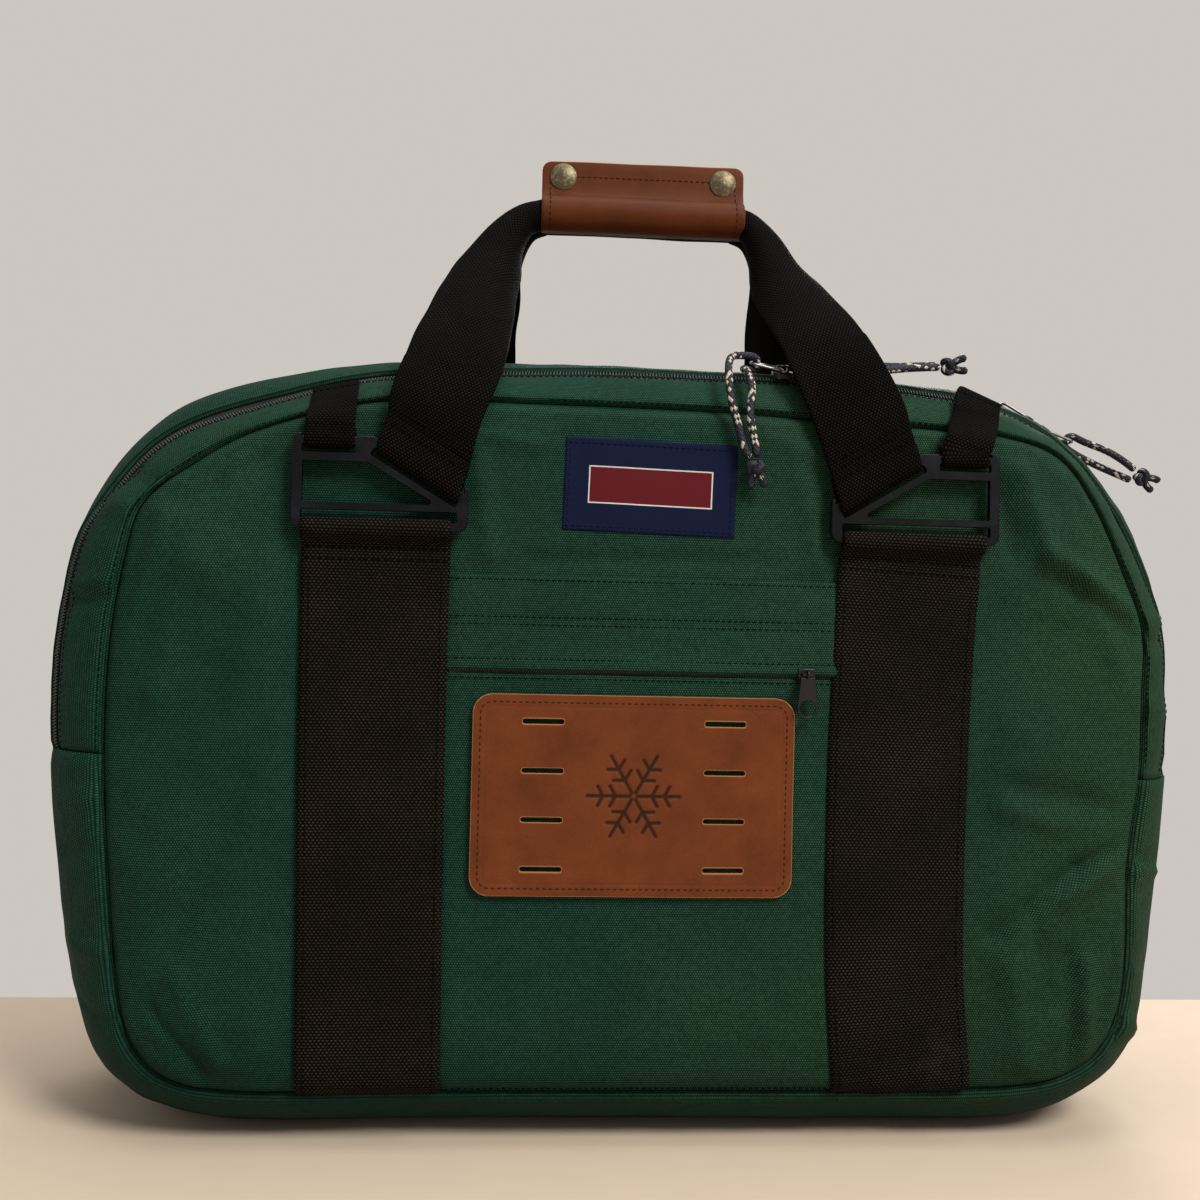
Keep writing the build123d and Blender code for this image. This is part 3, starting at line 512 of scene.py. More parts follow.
def twill(tree, u, v, pitch):
    """Height of a 2/1 twill with threads pitch mm apart."""
    across, along = ridges(tree, u, pitch), ridges(tree, v, pitch)
    column = tree.maths("FLOOR", tree.maths("DIVIDE", u, pitch))
    row = tree.maths("FLOOR", tree.maths("DIVIDE", v, pitch))
    step = tree.maths("FLOORED_MODULO", tree.maths("ADD", column, row), 3.0)
    warp_up = tree.maths("LESS_THAN", step, 1.5)
    warp = tree.maths("MULTIPLY", across, tree.ramp(along, 0, 1, 0.72, 1.0))
    weft = tree.maths("MULTIPLY", along, tree.ramp(across, 0, 1, 0.72, 1.0))
    return tree.maths("ADD", tree.maths("MULTIPLY", warp, warp_up),
                      tree.maths("MULTIPLY", weft, tree.maths("SUBTRACT", 1.0, warp_up)))


def plain_weave(tree, u, v, wide, tall):
    """Height of rounded picks, wide by tall mm, set like bricks."""
    line = tree.maths("FLOOR", tree.maths("DIVIDE", v, tall))
    shift = tree.maths("MULTIPLY", tree.maths("FLOORED_MODULO", line, 2.0), wide / 2)
    across, along = ridges(tree, tree.maths("ADD", u, shift), wide), ridges(tree, v, tall)
    return tree.maths("MULTIPLY", tree.maths("POWER", across, 0.7), tree.maths("POWER", along, 0.8))


def packcloth(name):
    """Coated nylon packcloth: plain weave with a painted sheen highlight on its picks over painted shade in
    the gaps, a painted colour cast from teal to warmer green, and painted shade towards the bottom.
    """
    tint = colours()
    tree = Tree(name, tuple(tint.packcloth), 0.62, Specular_IOR_Level=0.05)
    u, v, _ = tree.parts(tree.cloth_place())
    pick = sizes().cloth_thread / MM
    place = tree.object_place()
    patchy = tree.noise(place, 13, 3)
    uneven = tree.noise(place, 420, 2)
    height = plain_weave(tree, u, v, pick, pick * 0.92)
    # share is how much of the painted sheen highlight a place takes: most on the raised picks, none in the
    # gaps, which keep the dark base colour as painted shade; the noises make it uneven
    share = tree.maths("MULTIPLY", tree.maths("POWER", height, 2.0),
                       tree.ramp(uneven, 0.25, 0.75, 0.55, 1.25))
    share = tree.maths("MULTIPLY", share, tree.ramp(patchy, 0.3, 0.7, 0.75, 1.1))
    # painted shade: below 75 mm the picks lose their sheen step by step, down to 0.42 of it at the ground, so
    # the cloth darkens towards the bottom
    share = tree.maths("MULTIPLY", share, tree.ramp(tree.parts(place)[2], 0.002, 0.075, 0.42, 1.0))
    # painted colour cast of the light, not of the cloth: the sheen colour drifts from teal on the left to a
    # warmer green on the right, in soft patches
    teal, leaf = (tuple(c * share_ for c, share_ in zip(tint.packcloth_sheen, shares))
                  for shares in ((1.0, 1.0, 1.10), (1.85, 1.08, 0.74)))
    drift = tree.maths("ADD", tree.noise(place, 7, 2), tree.maths("MULTIPLY", tree.parts(place)[0], 0.8))
    thread = tree.blend(tree.ramp(drift, 0.34, 0.70), teal, leaf)
    # painted highlight on the raised picks over painted shade in the gaps
    cloth = tree.blend(share, tuple(tint.packcloth), thread)
    rough = tree.ramp(patchy, 0.3, 0.7, 0.56, 0.70)
    crumple = tree.bump(tree.noise(place, 42, 4), 2.4, 0.6)
    return tree.finish(cloth, rough, tree.bump(height, 0.30, 0.7, crumple))


SCUFFED_WEBBING = (0.085, 0.072, 0.058)
LEATHER_PORES, LEATHER_STAMP = (0.05, 0.014, 0.008), (0.018, 0.0075, 0.0045)
LABEL_RIBS = (0.004, 0.004, 0.012)
LINING = (0.020, 0.026, 0.028)
BRAID_AROUND, BRAID_ALONG = 0.45475, 0.34    # strands of the cord's sheath per mm
FLECK_FROM = 0.87                            # the rest are pale tracers


def webbing(name, shade=1.0, pick_share=1.0):
    """Heavy nylon webbing: rows of short raised picks, set like bricks, with a painted highlight on each pick
    over painted shade in the gaps.
    """
    tint = colours()
    dark, light = (tuple(c * shade for c in colour) for colour in (tint.webbing, tint.webbing_pick_highlight))
    tree = Tree(name, dark, 0.78, Specular_IOR_Level=0.02)
    u, v, _ = tree.parts(tree.cloth_place())
    pick = sizes().web_pick / MM * pick_share
    height = plain_weave(tree, u, v, 1.42 * pick, pick)
    place = tree.object_place()
    patchy = tree.noise(place, 28, 4)
    fuzz = tree.noise(place, 900, 2)
    # share is how much painted highlight a place takes: most on the raised picks, none in the gaps, which
    # keep the dark colour as painted shade; the noises make it uneven
    share = tree.maths("MULTIPLY", tree.maths("POWER", height, 3.4), tree.ramp(patchy, 0.3, 0.75, 0.55, 1.1))
    share = tree.maths("MULTIPLY", share, tree.ramp(fuzz, 0.3, 0.7, 0.5, 1.3))
    base = tree.blend(share, dark, light)
    scuff = tree.maths("MULTIPLY", tree.ramp(tree.noise(place, 9, 5, 0.7), 0.64, 0.76), 0.35 * shade)
    base = tree.blend(tree.maths("MULTIPLY", scuff, height), base, SCUFFED_WEBBING)
    rough = tree.ramp(fuzz, 0.2, 0.8, 0.62, 0.82)
    return tree.finish(base, rough, tree.bump(height, 0.42, 0.8, tree.bump(fuzz, 0.1, 0.3)))


def leather(name, hide):
    """Vegetable tanned leather: pores, soft mottling, a dark stamp and raw cut edges."""
    tint = colours()
    tree = Tree(name, hide, 0.42, Specular_IOR_Level=0.08)
    place = tree.object_place()
    mottle = tree.noise(place, 34, 5, 0.62)
    pores = tree.nodes.new("ShaderNodeTexVoronoi")
    pores.feature = "DISTANCE_TO_EDGE"
    tree.wire(place, pores, "Vector")
    tree.put(pores, "Scale", 780)
    grain = tree.ramp(pores.outputs["Distance"], 0.0, 0.12)
    dark, light = tuple(c * 0.76 for c in hide), tuple(min(1, c * 1.16) for c in hide)
    base = tree.blend(tree.ramp(mottle, 0.32, 0.68), dark, light)
    base = tree.blend(tree.ramp(grain, 0, 1, 0.25, 0.0), base, LEATHER_PORES)
    rough = tree.ramp(mottle, 0.3, 0.7, 0.36, 0.52)
    mark = tree.parts(tree.cloth_place())[2]
    base = tree.blend(tree.ramp(mark, -0.9, -0.2, 0.88, 0.0), base, LEATHER_STAMP)
    raw = tree.ramp(mark, 0.55, 0.95)
    base = tree.blend(raw, base, tuple(tint.leather_edge))
    rough = tree.maths("ADD", rough, tree.maths("MULTIPLY", raw, 0.4))
    creases = tree.bump(tree.noise(place, 60, 4), 0.8, 0.25)
    return tree.finish(base, rough, tree.bump(grain, 0.07, 0.5, creases))


def plain(name, colour, roughness, scale, depth, metallic=0.0, worn=None, patches=46, **sockets):
    """Moulded or metal finish: fine surface noise, with worn patches if a colour is given."""
    tree = Tree(name, tuple(colour), roughness, Metallic=metallic, **sockets)
    place = tree.object_place()
    grain = tree.noise(place, scale, 3)
    patch = tree.noise(place, patches, 4, 0.65)
    base = None
    if worn is not None:
        base = tree.blend(tree.ramp(patch, 0.5, 0.72, 0.0, 0.75), tuple(colour), tuple(worn))
    rough = tree.ramp(patch, 0.3, 0.7, roughness * 0.82, min(1, roughness * 1.2))
    return tree.finish(base, rough, tree.bump(grain, depth, 0.5))


def braid(name):
    """Kernmantle sheath: crossed strands with pale tracers."""
    tint = colours()
    tree = Tree(name, tuple(tint.cord), 0.6, Specular_IOR_Level=0.3)
    u, v, _ = tree.parts(tree.cloth_place())
    around, along = tree.maths("MULTIPLY", u, BRAID_AROUND), tree.maths("MULTIPLY", v, BRAID_ALONG)
    one, two = tree.maths("ADD", around, along), tree.maths("SUBTRACT", around, along)
    cell = tree.nodes.new("ShaderNodeCombineXYZ")
    tree.wire(tree.maths("FLOOR", one), cell, 0)
    tree.wire(tree.maths("FLOOR", two), cell, 1)
    chance = tree.nodes.new("ShaderNodeTexWhiteNoise")
    chance.noise_dimensions = "3D"
    tree.wire(cell.outputs[0], chance, "Vector")
    fleck = tree.maths("GREATER_THAN", chance.outputs["Value"], FLECK_FROM)
    ridge = tree.maths("MULTIPLY", ridges(tree, one, 1), ridges(tree, two, 1))
    base = tree.blend(fleck, tuple(tint.cord), tuple(tint.cord_fleck))
    return tree.finish(base, None, tree.bump(ridge, 0.35, 0.8))


def label_cloth(name):
    """Damask woven label with a plain woven band between pale lines."""
    tint = colours()
    tree = Tree(name, tuple(tint.label), 0.68, Specular_IOR_Level=0.08)
    u, v, _ = tree.parts(tree.cloth_place())
    height = twill(tree, u, v, 0.42)

    def inside(half_width, half_height):
        wide = tree.maths("LESS_THAN", tree.maths("ABSOLUTE", u), half_width)
        tall = tree.maths("LESS_THAN", tree.maths("ABSOLUTE", v), half_height)
        return tree.maths("MULTIPLY", wide, tall)

    deep = tuple(c * 0.55 for c in tint.label)
    base = tree.blend(height, deep, tuple(c * 1.5 for c in tint.label))
    base = tree.blend(inside(32.8, 9.9), base, tuple(tint.label_edge))
    base = tree.blend(inside(32.1, 9.2), base, tuple(tint.label_band))
    ribs = tree.maths("MULTIPLY", tree.maths("SINE", tree.maths("MULTIPLY", v, 7.5)), 0.5)
    base = tree.blend(tree.ramp(ribs, -0.5, 0.5, 0.0, 0.22), base, LABEL_RIBS)
    return tree.finish(base, None, tree.bump(height, 0.12, 0.6))


def cloth_material():
    return once("Packcloth", packcloth)


def webbing_material():
    return once("Webbing", webbing)


def handle_material():
    return once("Handle webbing", lambda name: webbing(name, 0.36, 0.95))


def leather_material():
    return once("Leather", lambda name: leather(name, tuple(colours().leather)))


def grip_material():
    return once("Grip leather", lambda name: leather(name, tuple(colours().grip)))


def tape_material():
    return once("Zip tape", lambda name: plain(name, colours().tape, 0.85, 1400, 0.08))


def coil_material():
    return once("Zip coil", lambda name: plain(name, colours().coil, 0.42, 900, 0.03))


def lining_material():
    return once("Lining", lambda name: plain(name, LINING, 0.7, 1200, 0.06))


def thread_material(name, colour):
    return once(name, lambda name: plain(name, colour, 0.8, 1500, 0.05, Specular_IOR_Level=0.03))


# ---- rows of stitches and teeth ----------------------------------------------------
def row_tree():
    """Node tree that sets small rounded pieces along lines, facing out of the surface."""
    name = "Row along a seam"
    if name in bpy.data.node_groups:
        return bpy.data.node_groups[name]
    tree = bpy.data.node_groups.new(name, "GeometryNodeTree")
    face = tree.interface
    face.new_socket("Geometry", in_out="INPUT", socket_type="NodeSocketGeometry")
    for label, value in (("Pitch", 0.003), ("Length", 0.0024), ("Width", 0.0008), ("Height", 0.0006)):
        socket = face.new_socket(label, in_out="INPUT", socket_type="NodeSocketFloat")
        socket.subtype = "DISTANCE"
        socket.default_value = value
    face.new_socket("Material", in_out="INPUT", socket_type="NodeSocketMaterial")
    face.new_socket("Geometry", in_out="OUTPUT", socket_type="NodeSocketGeometry")
    make, link = tree.nodes.new, tree.links.new
    given, result = make("NodeGroupInput"), make("NodeGroupOutput")
    line, spaced = make("GeometryNodeMeshToCurve"), make("GeometryNodeResampleCurve")
    spaced.mode = "LENGTH"
    link(given.outputs["Geometry"], line.inputs[0])
    link(line.outputs[0], spaced.inputs["Curve"])
    link(given.outputs["Pitch"], spaced.inputs["Length"])
    bead, sized = make("GeometryNodeMeshUVSphere"), make("GeometryNodeTransform")
    bead.inputs["Segments"].default_value = 6
    bead.inputs["Rings"].default_value = 4
    bead.inputs["Radius"].default_value = 0.5
    scale = make("ShaderNodeCombineXYZ")
    for index, label in enumerate(("Length", "Width", "Height")):
        link(given.outputs[label], scale.inputs[index])
    link(bead.outputs[0], sized.inputs["Geometry"])
    link(scale.outputs[0], sized.inputs["Scale"])
    facing = make("GeometryNodeInputNamedAttribute")
    facing.data_type = "FLOAT_VECTOR"
    facing.inputs["Name"].default_value = "facing"
    along = make("GeometryNodeInputTangent")
    upright, turned = make("FunctionNodeAlignRotationToVector"), make("FunctionNodeAlignRotationToVector")
    upright.axis, turned.axis, turned.pivot_axis = "Z", "X", "Z"
    link(facing.outputs["Attribute"], upright.inputs["Vector"])
    link(upright.outputs[0], turned.inputs["Rotation"])
    link(along.outputs[0], turned.inputs["Vector"])
    placed, real = make("GeometryNodeInstanceOnPoints"), make("GeometryNodeRealizeInstances")
    link(spaced.outputs[0], placed.inputs["Points"])
    link(sized.outputs[0], placed.inputs["Instance"])
    link(turned.outputs[0], placed.inputs["Rotation"])
    link(placed.outputs[0], real.inputs[0])
    smooth, finish = make("GeometryNodeSetShadeSmooth"), make("GeometryNodeSetMaterial")
    link(real.outputs[0], smooth.inputs[0])
    link(smooth.outputs[0], finish.inputs["Geometry"])
    link(given.outputs["Material"], finish.inputs["Material"])
    link(finish.outputs[0], result.inputs[0])
    return tree


def row(name, lines, material, pitch, size):
    """One mesh of pieces along lines. A line is its points and their facings, in mm."""
    name = name.replace(" ", "_")
    vertices, edges, facings = [], [], []
    for points, facing in lines:
        first = len(vertices)
        vertices += [tuple(p) for p in np.asarray(points) * MM]
        facings += [tuple(f) for f in np.broadcast_to(facing, np.shape(points))]
        edges += [(first + i, first + i + 1) for i in range(len(points) - 1)]
    mesh = bpy.data.meshes.new(name)
    mesh.from_pydata(vertices, edges, [])
    attribute = mesh.attributes.new("facing", "FLOAT_VECTOR", "POINT")
    attribute.data.foreach_set("vector", np.array(facings, np.float32).ravel())
    piece = bpy.data.objects.new(name, mesh)
    bpy.context.scene.collection.objects.link(piece)
    modifier = piece.modifiers.new("Row", "NODES")
    modifier.node_group = row_tree()
    values = dict(zip(("Pitch", "Length", "Width", "Height"), (pitch, *size)))
    for item in modifier.node_group.interface.items_tree:
        if item.in_out == "INPUT" and item.name in values:
            modifier[item.identifier] = values[item.name] * MM
        if item.in_out == "INPUT" and item.name == "Material":
            modifier[item.identifier] = material
    made = made_mesh(piece)
    if not made.polygons:
        raise RuntimeError(f"{name}: the row is empty")
    piece.modifiers.clear()
    piece.data = made
    return piece


def stitches(name, body, slot, lines, colour, thickness=0.75):
    pitch, size = sizes().stitch_pitch / MM, sizes().stitch / MM
    piece = row(name, lines, thread_material(name, colour), pitch, (size, thickness, thickness * 0.8))
    return dress(piece, None, body, slot)


# ---- the body's rounded wall -------------------------------------------------------
# Shares of the seam, front zip and widest lines, and the depth in mm, from front seam to rear.
PROFILE = np.array([
    (1, 0, 0, SEAM_Y + 1.8), (0.84, 0.16, 0, SEAM_Y - 0.6), (0.50, 0.50, 0, -80.5), (0.26, 0.74, 0, -74.5),
    (0.17, 0.83, 0, -71.6), (0, 1, 0, FRONT_ZIP_Y), (0, 0.74, 0.26, -60.6), (0, 0.42, 0.58, -53.5),
    (0, 0.14, 0.86, -44.0), (0, 0.04, 0.96, -32.8), (0, 0, 1, REAR_ZIP_Y), (0, 0, 1, -23.2), (0, 0, 1, -5.0),
    (0, 0, 1, 25.0), (0.04, 0, 0.96, 44.0), (0.22, 0, 0.78, 63.0), (0.52, 0, 0.48, 77.0),
    (0.83, 0, 0.17, REAR_SEAM_Y - 1.2), (1, 0, 0, REAR_SEAM_Y - 1.8),
])
LAST_ROW = len(PROFILE) - 1
FRONT_COIL, REAR_COIL = 5, 10


def shell(places, rows):
    """Points of the body's rounded wall, a row for each place along the profile."""
    rows = np.asarray(rows, float)
    i = np.clip(np.floor(rows).astype(int), 0, LAST_ROW - 1)
    f = (rows - i)[:, None]
    mix = catmull(*(PROFILE[np.clip(i + k, 0, LAST_ROW)] for k in (-1, 0, 1, 2)), f)
    flat = np.einsum("rk,nkc->rnc", mix[:, :3], loop_points(places))
    return np.stack([flat[..., 0], np.broadcast_to(mix[:, 3:4], flat.shape[:2]), flat[..., 1]], -1)


def shell_with_normals(places, rows):
    """Shell points and outward normals, by small steps each way."""
    places, rows = np.asarray(places, float), np.asarray(rows, float)
    here = shell(places, rows)
    step = 0.04
    before, after = (shell(places, np.clip(rows + s, 0, LAST_ROW)) for s in (-step, step))
    around = shell(places + step, rows) - shell(places - step, rows)
    normal = np.cross(around, after - before)
    normal /= np.linalg.norm(normal, axis=-1, keepdims=True) + 1e-9
    outward = here - np.array((0, 0, BODY_MIDDLE_Z))
    outward[..., 0] *= 0.5
    sign = np.sign(np.sum(normal * outward, axis=-1, keepdims=True))
    return here, normal * np.where(sign == 0, 1, sign)


TUCKS_FROM_X = 240
SHELL_TUCKS = [   # side, height, slope, half width, depth of the tucks in the front edge strip
    (-1, 281, 0.16, 3.4, -2.6), (-1, 288, 0.16, 4.0, 2.0), (-1, 330, -0.5, 4.5, 1.8),
    (-1, 344, -0.5, 4.5, -1.8), (-1, 176, 0.3, 5, 1.6), (-1, 150, 0.2, 5, -1.6), (-1, 100, -0.2, 6, 1.8),
    (-1, 66, -0.4, 4, -1.8), (1, 281, -0.2, 4, 2.0), (1, 270, -0.2, 4, -2.2), (1, 232, 0.1, 6, 1.4),
    (1, 152, 0.1, 3, -2.0), (1, 144, 0.1, 4, 1.8), (1, 96, 0.4, 5, -1.6), (1, 60, 0.5, 4, 2.0),
    (1, 48, 0.5, 3.4, -1.8),
]


def creases(points, rows):
    """Height of the soft folds in the rounded wall. The seams and the zips hold it smooth."""
    x, y, z = points[..., 0], points[..., 1], points[..., 2]
    rows = np.asarray(rows)
    free = np.clip(rows / 2.2, 0, 1) * np.clip((LAST_ROW - rows) / 2.2, 0, 1)
    zips = np.minimum(np.abs(rows - FRONT_COIL), np.abs(rows - REAR_COIL))
    free = (free * (0.35 + 0.65 * np.clip(zips / 2.5, 0, 1)))[:, None]
    broad = soft_noise(z + 0.6 * x, y * 0.8, 52, 1.3)
    fine = soft_noise(z * 1.3 - x * 0.9, y, 19, 8.1)
    seam = -1.3 * np.exp(-((z - SEAM_Z) / 3.2) ** 2) * (np.abs(x) > 250)
    tucks = 0.0
    for side, height, slope, width, depth in SHELL_TUCKS:
        line = z - height + slope * (y + 80)
        tucks = tucks + depth * np.exp(-(line / width) ** 2) * (np.sign(x) == side)
    tucks = tucks * np.clip((-60 - y) / 12, 0, 1)
    floor = np.clip(z / 14, 0, 1)
    rise = (np.clip(rows / 0.8, 0, 1) * np.clip(zips / 1.2, 0, 1))[:, None]
    return floor * (free * (1.7 * broad + 0.8 * fine) + rise * tucks * (np.abs(x) > TUCKS_FROM_X) + seam)


def shell_piece(name, places, run, rows, insets, node, thickness=CLOTH_THICK, material=None,
                slot="green_packcloth"):
    """A strip of the wall between two places along the profile."""
    points, normals = shell_with_normals(places, rows)
    height = creases(points, rows) - np.asarray(insets)[:, None]
    points = points + normals * height[..., None]
    depth = lengths_along(points[:, len(places) // 2])
    cloth = np.stack(np.broadcast_arrays(run, depth[:, None]), -1)
    faces = grid_faces(len(rows), len(places))
    corner = points[:2, :2].reshape(-1, 3)
    turn = np.dot(np.cross(corner[1] - corner[0], corner[2] - corner[0]), normals[0, 0])
    if turn < 0:
        faces = [face[::-1] for face in faces]
    piece = new_object(name, points.reshape(-1, 3), faces, cloth.reshape(-1, 2))
    thicken(piece, thickness)
    return dress(piece, material or cloth_material(), "bag", slot, node)


TOP_PLACES, TOP_RUN = even_places(LEFT_SEAM_T, RIGHT_SEAM_T, 4.0)
BASE_PLACES, BASE_RUN = even_places(RIGHT_SEAM_T, LEFT_SEAM_T + len(LOOPS), 4.0)


def rows_between(low, high, count, lip_low=False, lip_high=False):
    """Places along the profile, with a turned in edge at either end."""
    rows, insets = list(np.linspace(low, high, count)), [0.0] * count
    if lip_low:
        rows, insets = [low + 0.03, low - 0.05, low - 0.05] + rows, [2.4, 1.3, 0.4] + insets
    if lip_high:
        rows, insets = rows + [high + 0.05, high + 0.05, high - 0.03], insets + [0.4, 1.3, 2.4]
    return rows, insets


def shell_row(places, row_place, height=0.3):
    """A line of stitches on the wall, with its facings."""
    points, normals = shell_with_normals(places, [row_place])
    lift = creases(points, [row_place]) + height
    return (points + normals * lift[..., None])[0], normals[0]


# How the base cloth lies over the ground, and the board on it: places and heights in mm.
BASE_SAG_X, BASE_SAG = (-258, -212, 0, 212, 258), (8, 0, 0, 2, 16)
BASE_EDGE_Y, BASE_EDGE = (-53.5, -44, -32, 25, 44, 63), (3.4, 1.1, 0, 0, 1.1, 6.2)
BOARD_LIFT = 2.7
BOARD_PLASTIC = (0.020, 0.020, 0.022)


class HOLDALL_OT_shell(bpy.types.Operator):
    """Body cloth: panels, top strips between the zips, and the base with its board"""
    bl_idname = "holdall.shell"
    bl_label = "Body"

    def execute(self, context):
        strips = (
            ("Front top strip", (0, 4.10, 26, False, True), "front_top_strip"),
            ("Middle top strip", (6.08, 9.1, 22, True, True), "middle_top_strip"),
            ("Rear top strip", (10.9, LAST_ROW, 44, True, False), "rear_top_strip"),
        )
        for name, reach, node in strips:
            rows, insets = rows_between(*reach)
            shell_piece(name, TOP_PLACES, TOP_RUN, rows, insets, node)
        rows, insets = rows_between(0, LAST_ROW, 78)
        shell_piece("Base", BASE_PLACES, BASE_RUN, rows, insets, "bottom_gusset")
        for end_name, end in ENDS.items():
            self.panel(f"{end_name.title()} panel", end, f"{end_name}_panel")
        first, last = 0.75, LAST_ROW - 0.8                    # stitches beside the front and rear seams
        lines = [shell_row(TOP_PLACES[1:-1], place) for place in (first, 3.75, 6.35, 8.75, 11.25, last)]
        lines += [shell_row(BASE_PLACES[1:-1], place) for place in (first, last)]
        around = np.linspace(0.5, LAST_ROW - 0.5, 60)
        for place in (LEFT_SEAM_T - 0.05, RIGHT_SEAM_T + 0.05):
            points, normals = shell_with_normals([place], around)
            lift = creases(points, around) + 0.25
            lines.append(((points + normals * lift[..., None])[:, 0], normals[:, 0]))
        stitches("Body stitching", "bag", "green_packcloth", lines, colours().thread, 0.6)
        self.board()
        return {"FINISHED"}

    def board(self):
        """The base board bends a little with the cloth that it lies on."""
        low, high = span("bottom_board")
        x, y = np.meshgrid(np.linspace(low[0], high[0], 60), np.linspace(low[1], high[1], 16))
        z = np.interp(x, BASE_SAG_X, BASE_SAG) + np.interp(y, BASE_EDGE_Y, BASE_EDGE) + BOARD_LIFT
        piece = new_object("Base board", np.stack([x, y, z], -1).reshape(-1, 3), grid_faces(*x.shape))
        face_outwards(piece, (0, 0, -1))
        thicken(piece, high[2] - low[2])
        material = plain("Board plastic", BOARD_PLASTIC, 0.6, 300, 0.05)
        dress(piece, material, "bag", "board_plastic", "bottom_board")

    def panel(self, name, end, node):
        """One big panel, as rings round its middle that close in on the seam."""
        rings = 1 - np.concatenate((np.linspace(0, 0.10, 15)[:-1], np.linspace(0.10, 0.97, 72)))
        places, _ = even_places(0, len(LOOPS), 4.6)
        seam = loop_points(places[:-1])[:, 0]
        flat = PANEL_CENTRE + (seam - PANEL_CENTRE) * rings[:, None, None]
        count = len(seam)
        faces = grid_faces(len(rings), count, closed=True, flip=end > 0)
        cloth = np.vstack([flat.reshape(-1, 2), [PANEL_CENTRE]])
        points = np.insert(cloth, 1, panel_y(*cloth.T, end), axis=1)
        last = len(points) - 1
        inner = (len(rings) - 1) * count
        for i in range(count):
            face = (inner + i, inner + (i + 1) % count, last)
            faces.append(face[::-1] if end > 0 else face)
        piece = new_object(name, points, faces, cloth)
        face_outwards(piece, (0, end, 0))
        thicken(piece, CLOTH_THICK)
        dress(piece, cloth_material(), "bag", "green_packcloth", node)


# ---- zips --------------------------------------------------------------------------
TURN_MIDDLE = 1.45                           # from the zip's middle to that of its coil's turns
TAPE_INSET, TAPE_THICK = 1.7, 0.9


def coil_lines(places, middle_row, height):
    """Two staggered lines of coil turns either side of the zip's middle."""
    points, normals = shell_with_normals(places, [middle_row])
    across = unit((shell(places, [middle_row + 0.1]) - shell(places, [middle_row - 0.1]))[0])
    lift = creases(points, [middle_row])[0] + height
    middle = points[0] + normals[0] * lift[:, None]
    left, right = middle - across * TURN_MIDDLE, middle + across * TURN_MIDDLE
    right[0] += (right[1] - right[0]) * 0.22             # half a turn further on
    return [(left, normals[0]), (right, normals[0])]


class HOLDALL_OT_zips(bpy.types.Operator):
    """Zip tapes and coils of the two compartments and the pocket"""
    bl_idname = "holdall.zips"
    bl_label = "Zips"

    def execute(self, context):
        pitch = sizes().tooth_pitch / MM
        for name, middle, low, high, height, node in (
                ("Front zip", FRONT_COIL, 3.85, 6.3, -1.0, "front_zipper"),
                ("Rear zip", REAR_COIL, 8.7, 11.3, -1.5, "rear_zipper")):
            rows = np.linspace(low, high, 9)
            shell_piece(f"{name} tape", TOP_PLACES, TOP_RUN, rows, np.full(9, TAPE_INSET), node, TAPE_THICK,
                        tape_material(), "zipper")
            piece = row(f"{name} coil", coil_lines(TOP_PLACES, middle, height), coil_material(), pitch,
                        (pitch * 0.80, 3.1, 1.9))
            dress(piece, None, "bag", "zipper")
        z = (POCKET_HIGH[2] + PLACKET_LOW[2]) / 2
        x = np.linspace(POCKET_LOW[0], POCKET_HIGH[0], 60)
        xs, zs = spaced(POCKET_LOW[0], POCKET_HIGH[0], 5), np.linspace(z - 5, z + 5, 6)
        laid_sheet("Pocket zip tape", xs, zs, lambda a, b: np.full_like(a, 0.55), 0.5, tape_material(),
                   "zipper", "pocket_zipper")
        y = panel_y(x, np.full_like(x, z)) - 0.95
        lines = [(np.stack([x + shift, y, np.full_like(x, z + side)], -1), (0, -1, 0))
                 for side, shift in ((-0.95, 0.0), (0.95, pitch * 0.4))]
        piece = row("Pocket zip coil", lines, coil_material(), pitch * 0.8, (pitch * 0.62, 2.0, 1.2))
        dress(piece, None, "bag", "zipper")
        return {"FINISHED"}


# ---- laid on pieces ----------------------------------------------------------------
def spaced(low, high, step, rim=(0.25, 0.7, 1.4, 2.4)):
    """Places from low to high, close together at both ends."""
    inner = np.linspace(low + rim[-1], high - rim[-1], max(2, int(round((high - low) / step))))
    return np.concatenate(([low], low + np.array(rim[:-1]), inner, high - np.array(rim[:-1])[::-1], [high]))


def rounded(distance, reach=1.4):
    """Share of the full height at a distance from a folded edge."""
    near = 1 - np.clip(distance / reach, 0, 1)
    return np.sqrt(np.clip(1 - near * near, 0, 1))


def turned(a, b, turn, about):
    """Places turned about the middle of a laid on piece."""
    cos, sin = math.cos(turn), math.sin(turn)
    return about[0] + a * cos - b * sin, about[1] + a * sin + b * cos


def laid_sheet(name, xs, zs, height, thickness, material, slot, node, turn=0.0, about=(0, 0)):
    """Cloth that lies on the front panel: columns xs, rows zs, height over the panel."""
    a, b = np.meshgrid(xs, zs)
    x, z = turned(a, b, turn, about)
    y = panel_y(x, z) - height(a, b)
    piece = new_object(name, np.stack([x, y, z], -1).reshape(-1, 3), grid_faces(len(zs), len(xs)),
                       np.stack([a, b], -1).reshape(-1, 2))
    face_outwards(piece, (0, -1, 0))
    thicken(piece, thickness)
    return dress(piece, material, "bag", slot, node)


def panel_row(points, height):
    """A stitch line through x, z points on the front panel."""
    fine = []
    for (x0, z0), (x1, z1) in zip(points, points[1:]):
        count = max(2, int(math.hypot(x1 - x0, z1 - z0) / 4))
        share = np.linspace(0, 1, count, endpoint=False)[:, None]
        fine.append(np.array((x0, z0)) * (1 - share) + np.array((x1, z1)) * share)
    fine = np.vstack(fine + [np.array([points[-1]])])
    y = panel_y(fine[:, 0], fine[:, 1]) - height
    return np.stack([fine[:, 0], y, fine[:, 1]], -1), (0, -1, 0)


PLACKET_SEAM_Z = 274                         # a sewn ridge across the placket


